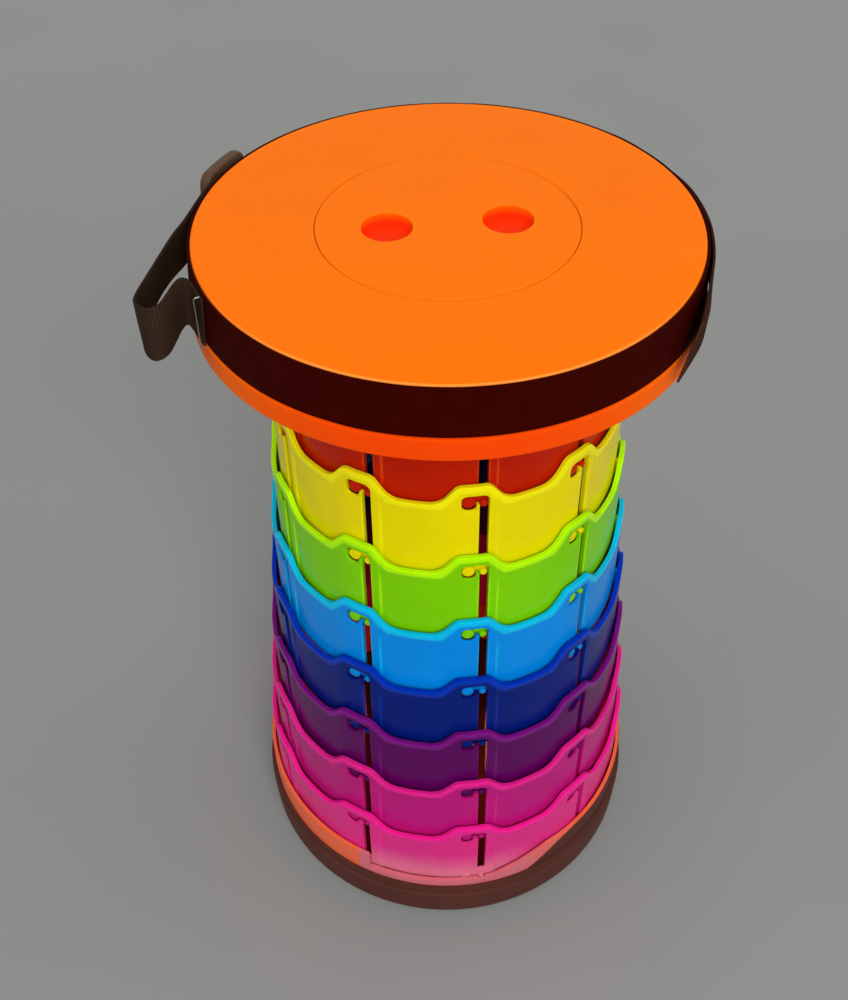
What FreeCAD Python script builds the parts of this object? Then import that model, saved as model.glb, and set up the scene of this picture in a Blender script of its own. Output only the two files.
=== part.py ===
import FreeCAD, Part
import math
import os
import re
import Sketcher

# Collapsible stool: eight nested rings between a base and a seat, each hung in the next larger one
# by ten pegs. Millimetres, +Z up, origin at the middle of the underside, -Y is the front.

doc = FreeCAD.newDocument("CollapsibleStool")
sizes = doc.addObject("Spreadsheet::Sheet", "Sizes")

drivingSizes = [
    # rings
    ("largestRingRadius", 119.2, "outside radius of the lowest moving ring"),
    ("ringWall", 2.3, "wall of every ring"),
    ("ringGap", 1.89, "radial gap between neighbouring rings"),
    ("overcut", 1.0, "how far a cutting outline runs past what it cuts"),
    ("ringCrest", 60.5, "ring height at a crest of its top edge"),
    ("ringTrough", 49.0, "ring height at a trough of its top edge"),
    ("slotCount", 10, "peg slots round a ring"),
    ("slotAzimuth", 11.4, "turn of the first slot from the front, degrees"),
    ("troughAzimuth", 14.8, "turn from a slot to the middle of the next trough, degrees"),
    ("troughFlatHalf", 7.6, "half angle of a trough's flat, degrees"),
    ("troughTopHalf", 12.9, "half angle of a trough at crest level, degrees"),
    ("channelWidth", 4.8, "width of the straight channel"),
    ("bandHeight", 11.0, "closed band under each channel"),
    ("grooveDepth", 1.3, "depth of the blind groove behind the band"),
    ("pocketTurn", 4.65, "turn from the channel to its locking pocket, degrees"),
    ("pocketWidth", 7.4, "width of the locking pocket"),
    ("pocketFloor", 43.7, "height of the pocket's floor in the ring"),
    ("pocketMiddle", 49.4, "height at which the next peg rests in the ring"),
    ("passageTop", 54.5, "height of the top of pocket and channel"),
    ("cuspHeight", 48.4, "height of the cusp between pocket and channel"),
    ("slotCorner", 2.2, "corner cut of pocket and channel"),
    ("cuspTip", 0.5, "corner cut of the cusp"),
    ("pegRadius", 2.1, "radius of a peg"),
    ("pegHeight", 4.5, "height of the peg's axis above the ring's lower edge"),
    ("pegEngagement", 1.1, "reach of a peg into the next ring's wall"),
    ("pegRoot", 0.6, "how far pegs and knobs are rooted in their wall"),
    ("knobRadius", 2.7, "radius of the low knob beside each peg"),
    ("knobClearance", 0.35, "gap between a knob and the next ring"),
    # base
    ("padProud", 0.6, "how far the pads stand below the floor plate"),
    ("padRadius", 8.0, "radius of a pad"),
    ("padThickness", 1.6, "thickness of a pad"),
    ("padCircle", 96.0, "radius of the circle of pads"),
    ("padCount", 8, "pads on the circle"),
    ("padClearance", 0.1, "gap round a pad in its recess"),
    ("padEdge", 0.4, "chamfer round the foot of a pad"),
    ("floorThickness", 2.2, "thickness of the floor plate"),
    ("floorRibCount", 8, "ribs on the floor plate"),
    ("floorRibHeight", 2.2, "height of the floor ribs"),
    ("floorRibWidth", 1.8, "thickness of the floor ribs"),
    ("floorRibReach", 79.0, "outer end of the floor ribs"),
    ("floorHubRadius", 18.0, "radius of the ring that the floor ribs meet"),
    ("footHeight", 31.0, "top of the foot's wall"),
    ("footStep", 23.0, "height of the step round the foot"),
    ("footStepOut", 1.3, "how far the foot's lower part stands out"),
    ("footDraft", 0.9, "how much the foot narrows towards the floor"),
    ("footChamfer", 1.2, "chamfer at the foot's lower edge"),
    ("footShoulder", 1.0, "height of the slope of the foot's step"),
    ("footWall", 1.5, "wall of the foot's upper part"),
    ("baseFit", 0.1, "gap between base ring and foot"),
    ("baseGap", 1.5, "radial gap between the lowest ring and the base ring"),
    ("baseRingWall", 2.2, "wall of the base ring"),
    ("baseRingTop", 51.0, "top of the base ring"),
    ("basePegLevel", 38.1, "level of the lowest ring's pegs"),
    ("baseFlangeThickness", 1.6, "thickness of the base ring's inner flange"),
    ("baseFlangeReach", 10.7, "how far the flange reaches inwards"),
    ("notchFloor", 37.5, "bottom of the lowered front of the base ring"),
    ("notchAzimuth", -16.1, "turn from a slot to the middle of the lowered front, degrees"),
    ("notchHalf", 18.7, "half angle of the lowered front, degrees"),
    ("notchRampHalf", 36.7, "half angle at the top of its ramp, degrees"),
    ("baseScrewCount", 8, "screws that hold the base ring"),
    ("baseScrewCircle", 114.0, "radius of their circle"),
    ("baseScrewRadius", 1.4, "radius of a base screw's shank"),
    ("baseScrewHead", 2.9, "radius of a base screw's head"),
    ("baseScrewHeadHeight", 0.9, "height of a base screw's head"),
    ("screwClearance", 0.1, "gap round a screw"),
    ("screwTipGap", 0.3, "gap before a screw's tip"),
    # seat
    ("seatTubeRise", 54.2, "height of the seat's own tube"),
    ("plateThickness", 3.0, "thickness of the seat plate"),
    ("rimClearance", 0.35, "gap between the rim's inside and the base ring"),
    ("rimWall", 1.5, "wall of the rim under the strap"),
    ("rimTaper", 2.2, "how much the rim widens downwards"),
    ("rimTopInset", 1.54, "how far the rim's top lies inside its fit over the base ring"),
    ("rimCheek", 0.8, "height of the plate's edge above the strap"),
    ("strapGrooveHeight", 25.2, "height of the strap's seat on the rim"),
    ("lipDepth", 12.6, "height of the lip under the strap"),
    ("lipOut", 1.9, "how far the lip stands out from the rim"),
    ("lipShoulder", 0.9, "height of the sloped shoulder of the lip"),
    ("lipWall", 2.4, "wall of the lip"),
    ("lipChamfer", 0.7, "chamfer at the lip's lower edge"),
    ("topFillet", 0.75, "rounding of the seat's top edge"),
    ("lidRadius", 64.0, "radius of the lid"),
    ("lidGap", 0.4, "seam round the lid"),
    ("lidEdge", 0.4, "rounding of lid and opening"),
    ("lidLedge", 5.4, "width of the ledge under the lid"),
    ("ledgeThickness", 2.6, "thickness of the ledge"),
    ("ledgeWall", 2.4, "wall that carries the ledge"),
    ("lidHoopDepth", 6.0, "depth of the lid's centring hoop"),
    ("lidHoopWall", 1.6, "wall of the lid's centring hoop"),
    ("cupRadius", 12.5, "radius of a finger cup"),
    ("cupDepth", 5.5, "depth of a finger cup"),
    ("cupWall", 1.5, "wall of a finger cup"),
    ("cupOffset", 29.4, "distance of a finger cup from the middle"),
    ("cupTurn", 7.0, "turn of the line of cups from the X axis, degrees"),
    ("cupFillet", 0.8, "rounding of a cup's mouth"),
    ("seatRibCount", 12, "ribs under the seat plate"),
    ("seatRibWidth", 1.8, "thickness of the seat ribs"),
    ("seatRibDepth", 6.0, "depth of the seat ribs"),
    ("seatRibGap", 0.5, "gap between a seat rib and the tube"),
    ("seatScrewCount", 6, "screws that hold the seat's tube"),
    ("seatScrewCircle", 75.0, "radius of their circle"),
    ("seatScrewRadius", 1.4, "radius of a seat screw's shank"),
    ("seatScrewHead", 3.2, "radius of a seat screw's head"),
    ("seatScrewHeadHeight", 2.2, "height of a seat screw's head"),
    ("seatScrewDome", 0.9, "slope round the face of a seat screw's head"),
    ("seatScrewLength", 7.0, "length of a seat screw's shank"),
    ("bossRadius", 3.6, "radius of a screw boss"),
    ("bossDepth", 8.0, "depth of a screw boss"),
    ("flangeThickness", 2.0, "thickness of the tube's flange"),
    ("flangeReach", 13.4, "how far the tube's flange reaches inwards"),
    # strap
    ("strapWidth", 25.3, "width of the webbing"),
    ("strapThickness", 1.4, "thickness of the webbing"),
    ("strapClearance", 0.15, "gap between layers of webbing"),
    ("strapDrop", 0.4, "top of the webbing below the seat's top"),
    ("buckleAzimuth", -114.5, "turn of the buckle from the front, degrees"),
    ("buckleLength", 34.0, "buckle along the strap"),
    ("buckleHeight", 33.0, "buckle across the strap"),
    ("buckleThickness", 5.0, "thickness of the buckle"),
    ("buckleRise", 0.9, "top of the buckle above the webbing"),
    ("buckleBar", 4.5, "width of the buckle's bars"),
    ("buckleTopBar", 8.0, "width of the buckle's upper bar"),
    ("buckleFillet", 4.0, "rounding of the buckle's corners"),
    ("keeperAzimuth", -60.5, "turn of the wire keeper from the front, degrees"),
    ("keeperWire", 1.0, "thickness of the keeper's wire"),
    ("keeperHook", 1.6, "reach of the keeper's ends over the webbing"),
]
for row, (alias, number, note) in enumerate(drivingSizes, start=1):
    sizes.set("A%d" % row, note)
    sizes.set("B%d" % row, str(number))
    sizes.setAlias("B%d" % row, alias)
doc.recompute()

names = [alias for alias, number, note in drivingSizes]

# Lengths that follow from the driving sizes, as formulas of their aliases.
derived = {
    "ringStep": "(ringWall + ringGap)",
    "ringRise": "(pocketMiddle - pegHeight)",
    "floorTop": "(padProud + floorThickness)",
    "lowestRingBottom": "(basePegLevel - pegHeight)",
    "baseRingInside": "(largestRingRadius + baseGap)",
    "baseRingOutside": "(baseRingInside + baseRingWall)",
    "footInside": "(baseRingOutside + baseFit)",
    "footOutside": "(footInside + footWall)",
    "seatTubeOutside": "(largestRingRadius - 8 * ringStep)",
    "seatTubeBottom": "(lowestRingBottom + 8 * ringRise)",
    "plateUnderside": "(seatTubeBottom + seatTubeRise)",
    "seatTop": "(plateUnderside + plateThickness)",
    "grooveTop": "(seatTop - rimCheek)",
    "grooveBottom": "(grooveTop - strapGrooveHeight)",
    "rimRadiusTop": "(baseRingOutside + rimClearance + rimWall - rimTopInset)",
    "rimRadiusBottom": "(rimRadiusTop + rimTaper)",
    "lipRadius": "(rimRadiusBottom + lipOut)",
    "lipBottom": "(grooveBottom - lipDepth)",
    "openingRadius": "(lidRadius + lidGap)",
    "ledgeInside": "(lidRadius - lidLedge)",
    "flangeTop": "(plateUnderside - bossDepth)",
    "strapTop": "(seatTop - strapDrop)",
    "bandOutsideTop": "(rimRadiusTop + strapClearance + strapThickness)",
    "bandOutsideBottom": "(rimRadiusBottom + strapClearance + strapThickness)",
}


def formula(text):
    """Write a formula of aliases and derived lengths in the sheet's own words."""
    while any(re.search(r"\b%s\b" % word, text) for word in derived):
        for word, meaning in derived.items():
            text = re.sub(r"\b%s\b" % word, meaning, text)
    return re.sub(r"\b(%s)\b" % "|".join(names), r"Sizes.\1", text)


def value(text):
    """Work out a formula's value now."""
    result = sizes.evalExpression(formula(text))
    return float(getattr(result, "Value", result))


def newBody(label):
    body = doc.addObject("PartDesign::Body", label)
    body.Label = label
    return body


def turned(body, degrees):
    """Turn a finished body about the stool's axis."""
    body.Placement = FreeCAD.Placement(FreeCAD.Vector(0, 0, 0), FreeCAD.Rotation(FreeCAD.Vector(0, 0, 1), 0))
    body.setExpression("Placement.Rotation.Angle", formula(degrees))


def originPlane(body, role):
    return [feature for feature in body.Origin.OriginFeatures if feature.Role == role][0]


def levelSketch(body, name, level):
    """A sketch seen from above, at a height."""
    sketch = body.newObject("Sketcher::SketchObject", name)
    sketch.AttachmentSupport = [(originPlane(body, "XY_Plane"), "")]
    sketch.MapMode = "FlatFace"
    sketch.setExpression("AttachmentOffset.Base.z", formula(level))
    return sketch


def frontSketch(body, name, azimuth="0", distance="0"):
    """A sketch seen from the front, turned about the axis and moved out from it."""
    sketch = body.newObject("Sketcher::SketchObject", name)
    sketch.AttachmentSupport = [(originPlane(body, "XZ_Plane"), "")]
    sketch.MapMode = "FlatFace"
    sketch.AttachmentOffset = FreeCAD.Placement(FreeCAD.Vector(0, 0, 0), FreeCAD.Rotation(FreeCAD.Vector(0, 1, 0), 0))
    sketch.setExpression("AttachmentOffset.Rotation.Angle", formula(azimuth))
    sketch.setExpression("AttachmentOffset.Base.x", formula("(%s) * sin(%s)" % (distance, azimuth)))
    sketch.setExpression("AttachmentOffset.Base.z", formula("(%s) * cos(%s)" % (distance, azimuth)))
    return sketch


def pin(sketch, kind, geometry, point, text):
    """Bind one coordinate of a sketch point to a formula."""
    number = sketch.addConstraint(Sketcher.Constraint(kind, -1, 1, geometry, point, value(text)))
    sketch.setExpression("Constraints[%d]" % number, formula(text))


def polygon(sketch, corners):
    """Draw a closed outline whose corners are bound to formulas."""
    first = sketch.GeometryCount
    places = [FreeCAD.Vector(value(across), value(up), 0) for across, up in corners]
    count = len(corners)
    for index in range(count):
        sketch.addGeometry(Part.LineSegment(places[index], places[(index + 1) % count]), False)
    for index in range(count):
        following = first + (index + 1) % count
        sketch.addConstraint(Sketcher.Constraint("Coincident", first + index, 2, following, 1))
    for index, (across, up) in enumerate(corners):
        pin(sketch, "DistanceX", first + index, 1, across)
        pin(sketch, "DistanceY", first + index, 1, up)


def circle(sketch, across, up, radius):
    """Draw a circle whose centre and radius are bound to formulas."""
    centre = FreeCAD.Vector(value(across), value(up), 0)
    index = sketch.addGeometry(Part.Circle(centre, FreeCAD.Vector(0, 0, 1), value(radius)), False)
    pin(sketch, "DistanceX", index, 3, across)
    pin(sketch, "DistanceY", index, 3, up)
    number = sketch.addConstraint(Sketcher.Constraint("Radius", index, value(radius)))
    sketch.setExpression("Constraints[%d]" % number, formula(radius))


def revolve(body, name, corners):
    sketch = frontSketch(body, name + "Profile")
    polygon(sketch, corners)
    feature = body.newObject("PartDesign::Revolution", name)
    feature.Profile = sketch
    feature.ReferenceAxis = (sketch, ["V_Axis"])
    feature.Angle = 360
    sketch.Visibility = False
    doc.recompute()
    return feature


def pad(body, name, sketch, length, midplane=False):
    feature = body.newObject("PartDesign::Pad", name)
    feature.Profile = sketch
    feature.Midplane = midplane
    feature.setExpression("Length", formula(length))
    sketch.Visibility = False
    doc.recompute()
    return feature


def pocket(body, name, sketch, length=None, reversedCut=True):
    """Cut along the sketch's normal, and make sure that something was cut."""
    before = body.Shape.Volume
    feature = body.newObject("PartDesign::Pocket", name)
    feature.Profile = sketch
    feature.Reversed = reversedCut
    if length is None:
        feature.Type = "ThroughAll"
    else:
        feature.setExpression("Length", formula(length))
    sketch.Visibility = False
    doc.recompute()
    if body.Shape.Volume >= before:
        raise RuntimeError(name + " cuts nothing")
    return feature


def aroundAxis(body, name, features, count):
    """Repeat features evenly about the stool's axis."""
    pattern = body.newObject("PartDesign::PolarPattern", name)
    pattern.Originals = features
    pattern.Axis = (body.Group[0], ["V_Axis"])
    pattern.Angle = 360
    pattern.setExpression("Occurrences", formula(count))
    body.Tip = pattern
    doc.recompute()
    return pattern


def edgesAt(shape, radius, height):
    """Names of the round edges at a radius and a height."""
    found = []
    for number, edge in enumerate(shape.Edges, start=1):
        middle = edge.valueAt((edge.FirstParameter + edge.LastParameter) / 2)
        if abs(middle.z - height) < 0.01 and abs(math.hypot(middle.x, middle.y) - radius) < 0.01:
            found.append("Edge%d" % number)
    return found


def fillet(body, name, base, edges, radius):
    feature = body.newObject("PartDesign::Fillet", name)
    feature.Base = (base, edges)
    feature.setExpression("Radius", formula(radius))
    doc.recompute()
    return feature


# Rings

def pegs(body, outside, bottom, gap):
    """Ten pegs that ride in the next larger part, and the low knobs that show in its pockets."""
    pegSketch = frontSketch(body, "PegSketch", "0", "%s - pegRoot" % outside)
    circle(pegSketch, "0", "%s + pegHeight" % bottom, "pegRadius")
    peg = pad(body, "Peg", pegSketch, "pegRoot + %s + pegEngagement" % gap)
    knobSketch = frontSketch(body, "KnobSketch", "-pocketTurn", "%s - pegRoot" % outside)
    circle(knobSketch, "0", "%s + pegHeight" % bottom, "knobRadius")
    knob = pad(body, "Knob", knobSketch, "pegRoot + %s - knobClearance" % gap)
    aroundAxis(body, "Pegs", [peg, knob], "slotCount")


def ring(label, stage):
    """One telescoping ring: wavy top edge, ten hooked slots, and pegs at the foot."""
    body = newBody(label)
    outside = "(largestRingRadius - %d * ringStep)" % stage
    inside = "(%s - ringWall)" % outside
    bottom = "(lowestRingBottom + %d * ringRise)" % stage
    revolve(body, "Wall", [
        (inside, bottom),
        (outside, bottom),
        (outside, bottom + " + ringCrest"),
        (inside, bottom + " + ringCrest"),
    ])
    troughSketch = frontSketch(body, "TroughSketch", "troughAzimuth")
    above = bottom + " + ringCrest + overcut"
    polygon(troughSketch, [
        ("-%s * sin(troughFlatHalf)" % outside, bottom + " + ringTrough"),
        ("%s * sin(troughFlatHalf)" % outside, bottom + " + ringTrough"),
        ("%s * sin(troughTopHalf)" % outside, bottom + " + ringCrest"),
        ("%s * sin(troughTopHalf)" % outside, above),
        ("-%s * sin(troughTopHalf)" % outside, above),
        ("-%s * sin(troughTopHalf)" % outside, bottom + " + ringCrest"),
    ])
    trough = pocket(body, "Trough", troughSketch)
    middle = "(-%s * sin(pocketTurn))" % outside
    left = "(%s - pocketWidth / 2)" % middle
    right = "(%s + pocketWidth / 2)" % middle
    channel = "channelWidth / 2"
    slotSketch = frontSketch(body, "SlotSketch")
    polygon(slotSketch, [
        (channel, bottom + " + bandHeight"),
        (channel, bottom + " + passageTop - slotCorner"),
        (channel + " - slotCorner", bottom + " + passageTop"),
        (left + " + slotCorner", bottom + " + passageTop"),
        (left, bottom + " + passageTop - slotCorner"),
        (left, bottom + " + pocketFloor + slotCorner"),
        (left + " + slotCorner", bottom + " + pocketFloor"),
        (right + " - slotCorner", bottom + " + pocketFloor"),
        (right, bottom + " + pocketFloor + slotCorner"),
        (right, bottom + " + cuspHeight - cuspTip"),
        (right + " + cuspTip", bottom + " + cuspHeight"),
        ("-channelWidth / 2 - cuspTip", bottom + " + cuspHeight"),
        ("-channelWidth / 2", bottom + " + cuspHeight - cuspTip"),
        ("-channelWidth / 2", bottom + " + bandHeight"),
    ])
    slot = pocket(body, "Slot", slotSketch)
    grooveSketch = frontSketch(body, "GrooveSketch")
    polygon(grooveSketch, [
        ("-channelWidth / 2", bottom + " - overcut"),
        (channel, bottom + " - overcut"),
        (channel, bottom + " + bandHeight + overcut"),
        ("-channelWidth / 2", bottom + " + bandHeight + overcut"),
    ])
    groove = pocket(body, "Groove", grooveSketch, inside + " + grooveDepth")
    aroundAxis(body, "Slots", [trough, slot, groove], "slotCount")
    pegs(body, outside, bottom, "ringGap" if stage else "baseGap")
    turned(body, "slotAzimuth")
    return body


ringNames = ["ring_pink", "ring_magenta", "ring_purple", "ring_navy",
             "ring_light_blue", "ring_green", "ring_yellow", "ring_orange"]
parts = [ring(label, stage) for stage, label in enumerate(ringNames)]


# Base

def baseRing():
    """Fixed ring that the lowest moving ring slides in, with a lowered front."""
    body = newBody("base_ring")
    revolve(body, "Wall", [
        ("baseRingInside - baseFlangeReach", "floorTop"),
        ("baseRingOutside", "floorTop"),
        ("baseRingOutside", "baseRingTop"),
        ("baseRingInside", "baseRingTop"),
        ("baseRingInside", "floorTop + baseFlangeThickness"),
        ("baseRingInside - baseFlangeReach", "floorTop + baseFlangeThickness"),
    ])
    grooveSketch = frontSketch(body, "GrooveSketch")
    polygon(grooveSketch, [
        ("-channelWidth / 2", "floorTop + baseFlangeThickness"),
        ("channelWidth / 2", "floorTop + baseFlangeThickness"),
        ("channelWidth / 2", "basePegLevel + pegRadius + overcut"),
        ("-channelWidth / 2", "basePegLevel + pegRadius + overcut"),
    ])
    groove = pocket(body, "Groove", grooveSketch, "baseRingInside + grooveDepth")
    aroundAxis(body, "Grooves", [groove], "slotCount")
    notchSketch = frontSketch(body, "NotchSketch", "notchAzimuth")
    polygon(notchSketch, [
        ("-baseRingOutside * sin(notchHalf)", "notchFloor"),
        ("baseRingOutside * sin(notchHalf)", "notchFloor"),
        ("baseRingOutside * sin(notchRampHalf)", "baseRingTop"),
        ("baseRingOutside * sin(notchRampHalf)", "baseRingTop + overcut"),
        ("-baseRingOutside * sin(notchHalf)", "baseRingTop + overcut"),
    ])
    pocket(body, "Notch", notchSketch)
    holeSketch = levelSketch(body, "HoleSketch", "floorTop")
    circle(holeSketch, "baseScrewCircle", "0", "baseScrewRadius + screwClearance")
    hole = pocket(body, "Hole", holeSketch, "baseFlangeThickness")
    aroundAxis(body, "Holes", [hole], "baseScrewCount")
    turned(body, "slotAzimuth")
    return body


def baseFoot():
    """Dark tray that the stool stands on: floor plate, stepped wall, ribs, pad and screw seats."""
    body = newBody("base_foot")
    revolve(body, "Tray", [
        ("0", "padProud"),
        ("footOutside + footStepOut - footDraft - footChamfer", "padProud"),
        ("footOutside + footStepOut - footDraft", "padProud + footChamfer"),
        ("footOutside + footStepOut", "footStep - footShoulder"),
        ("footOutside", "footStep"),
        ("footOutside", "footHeight"),
        ("footInside", "footHeight"),
        ("footInside", "floorTop"),
        ("0", "floorTop"),
    ])
    hubSketch = levelSketch(body, "HubSketch", "floorTop")
    circle(hubSketch, "0", "0", "floorHubRadius")
    circle(hubSketch, "0", "0", "floorHubRadius - floorRibWidth")
    pad(body, "Hub", hubSketch, "floorRibHeight")
    ribSketch = levelSketch(body, "RibSketch", "floorTop")
    polygon(ribSketch, [
        ("floorHubRadius - floorRibWidth / 2", "-floorRibWidth / 2"),
        ("floorRibReach", "-floorRibWidth / 2"),
        ("floorRibReach", "floorRibWidth / 2"),
        ("floorHubRadius - floorRibWidth / 2", "floorRibWidth / 2"),
    ])
    rib = pad(body, "Rib", ribSketch, "floorRibHeight")
    aroundAxis(body, "Ribs", [rib], "floorRibCount")
    middleSketch = levelSketch(body, "MiddlePadSketch", "padProud")
    circle(middleSketch, "0", "0", "padRadius + padClearance")
    pocket(body, "MiddlePadSeat", middleSketch, "padThickness - padProud")
    seatSketch = levelSketch(body, "PadSketch", "padProud")
    circle(seatSketch, "padCircle", "0", "padRadius + padClearance")
    seat = pocket(body, "PadSeat", seatSketch, "padThickness - padProud")
    aroundAxis(body, "PadSeats", [seat], "padCount")
    headSketch = levelSketch(body, "HeadSketch", "padProud")
    circle(headSketch, "baseScrewCircle", "0", "baseScrewHead + screwClearance")
    head = pocket(body, "HeadSeat", headSketch, "baseScrewHeadHeight")
    shankSketch = levelSketch(body, "ShankSketch", "padProud")
    circle(shankSketch, "baseScrewCircle", "0", "baseScrewRadius + screwClearance")
    shank = pocket(body, "ShankHole", shankSketch, "floorThickness")
    aroundAxis(body, "ScrewSeats", [head, shank], "baseScrewCount")
    turned(body, "slotAzimuth")
    return body


def turnedSolid(profile):
    """A solid of revolution from corners given as radius and height."""
    points = [FreeCAD.Vector(radius, 0, height) for radius, height in profile]
    face = Part.Face(Part.makePolygon(points + points[:1]))
    return face.revolve(FreeCAD.Vector(0, 0, 0), FreeCAD.Vector(0, 0, 1), 360)


def repeated(label, solid, circleRadius, count, startAngle, middle=None):
    """Copies of one small solid on a circle, as separate solids of one part."""
    copies = [] if middle is None else [middle]
    for index in range(count):
        copy = solid.copy()
        copy.translate(FreeCAD.Vector(circleRadius, 0, 0))
        copy.rotate(FreeCAD.Vector(0, 0, 0), FreeCAD.Vector(0, 0, 1), startAngle + 360.0 * index / count)
        copies.append(copy)
    feature = doc.addObject("Part::Feature", label)
    feature.Label = label
    feature.Shape = Part.makeCompound(copies)
    feature.Placement = FreeCAD.Placement()
    return feature


def footPads():
    edge = value("padEdge")
    radius = value("padRadius")
    pads = turnedSolid([(0, 0), (radius - edge, 0), (radius, edge),
                        (radius, value("padThickness")), (0, value("padThickness"))])
    return repeated("foot_pads", pads, value("padCircle"), int(value("padCount")),
                    value("slotAzimuth"), middle=pads.copy())


def baseScrews():
    low = value("padProud")
    headTop = value("padProud + baseScrewHeadHeight")
    tip = value("floorTop + baseFlangeThickness - screwTipGap")
    shank = value("baseScrewRadius")
    head = value("baseScrewHead")
    screw = turnedSolid([(0, low), (head, low), (head, headTop), (shank, headTop), (shank, tip), (0, tip)])
    return repeated("base_screws", screw, value("baseScrewCircle"), int(value("baseScrewCount")),
                    value("slotAzimuth"))


parts += [baseRing(), baseFoot(), footPads(), baseScrews()]


# Seat

def seatTop():
    """Round seat: plate, lid opening with a ledge, tapered rim for the strap, and the lip below it."""
    body = newBody("seat_top")
    outer = revolve(body, "Shell", [
        ("ledgeInside", "plateUnderside - ledgeThickness"),
        ("openingRadius + ledgeWall", "plateUnderside - ledgeThickness"),
        ("openingRadius + ledgeWall", "plateUnderside"),
        ("rimRadiusTop - rimWall", "plateUnderside"),
        ("rimRadiusBottom - rimWall", "grooveBottom"),
        ("lipRadius - lipWall", "grooveBottom - lipShoulder"),
        ("lipRadius - lipWall", "lipBottom"),
        ("lipRadius - lipChamfer", "lipBottom"),
        ("lipRadius", "lipBottom + lipChamfer"),
        ("lipRadius", "grooveBottom - lipShoulder"),
        ("rimRadiusBottom", "grooveBottom"),
        ("rimRadiusTop", "grooveTop"),
        ("rimRadiusTop", "seatTop"),
        ("openingRadius", "seatTop"),
        ("openingRadius", "plateUnderside"),
        ("ledgeInside", "plateUnderside"),
    ])
    ribSketch = levelSketch(body, "RibSketch", "plateUnderside - seatRibDepth")
    polygon(ribSketch, [
        ("openingRadius + ledgeWall / 2", "-seatRibWidth / 2"),
        ("seatTubeOutside - ringWall - seatRibGap", "-seatRibWidth / 2"),
        ("seatTubeOutside - ringWall - seatRibGap", "seatRibWidth / 2"),
        ("openingRadius + ledgeWall / 2", "seatRibWidth / 2"),
    ])
    rib = pad(body, "Rib", ribSketch, "seatRibDepth + plateThickness / 2")
    aroundAxis(body, "Ribs", [rib], "seatRibCount")
    bossAcross = "seatScrewCircle * cos(180 / seatRibCount)"
    bossUp = "seatScrewCircle * sin(180 / seatRibCount)"
    bossSketch = levelSketch(body, "BossSketch", "flangeTop")
    circle(bossSketch, bossAcross, bossUp, "bossRadius")
    boss = pad(body, "Boss", bossSketch, "bossDepth + plateThickness / 2")
    holeSketch = levelSketch(body, "HoleSketch", "flangeTop")
    circle(holeSketch, bossAcross, bossUp, "seatScrewRadius + screwClearance")
    hole = pocket(body, "Hole", holeSketch, "seatScrewLength")
    aroundAxis(body, "Bosses", [boss, hole], "seatScrewCount")
    edges = edgesAt(body.Tip.Shape, value("rimRadiusTop"), value("seatTop"))
    fillet(body, "TopRounding", body.Tip, edges, "min(topFillet; 0.95 * rimCheek)")
    turned(body, "slotAzimuth")
    return body


def seatTube():
    """The seat's own tube, the innermost one, with a flange that is screwed up to the seat."""
    body = newBody("seat_tube")
    outside = "seatTubeOutside"
    inside = "(seatTubeOutside - ringWall)"
    revolve(body, "Wall", [
        (inside, "seatTubeBottom"),
        (outside, "seatTubeBottom"),
        (outside, "plateUnderside"),
        (inside, "plateUnderside"),
        (inside, "flangeTop"),
        (inside + " - flangeReach", "flangeTop"),
        (inside + " - flangeReach", "flangeTop - flangeThickness"),
        (inside, "flangeTop - flangeThickness"),
    ])
    holeSketch = levelSketch(body, "HoleSketch", "flangeTop - flangeThickness")
    circle(holeSketch, "seatScrewCircle * cos(180 / seatRibCount)",
           "seatScrewCircle * sin(180 / seatRibCount)", "seatScrewRadius + screwClearance")
    hole = pocket(body, "Hole", holeSketch, "flangeThickness")
    aroundAxis(body, "Holes", [hole], "seatScrewCount")
    pegs(body, outside, "seatTubeBottom", "ringGap")
    turned(body, "slotAzimuth")
    return body


def seatScrews():
    seatLevel = value("flangeTop - flangeThickness")
    low = seatLevel - value("seatScrewHeadHeight")
    tip = value("flangeTop + seatScrewLength - screwTipGap")
    shank = value("seatScrewRadius")
    head = value("seatScrewHead")
    dome = value("seatScrewDome")
    screw = turnedSolid([(0, low), (head - dome, low), (head, low + dome), (head, seatLevel),
                         (shank, seatLevel), (shank, tip), (0, tip)])
    return repeated("seat_screws", screw, value("seatScrewCircle"), int(value("seatScrewCount")),
                    value("slotAzimuth + 180 / seatRibCount"))


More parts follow.
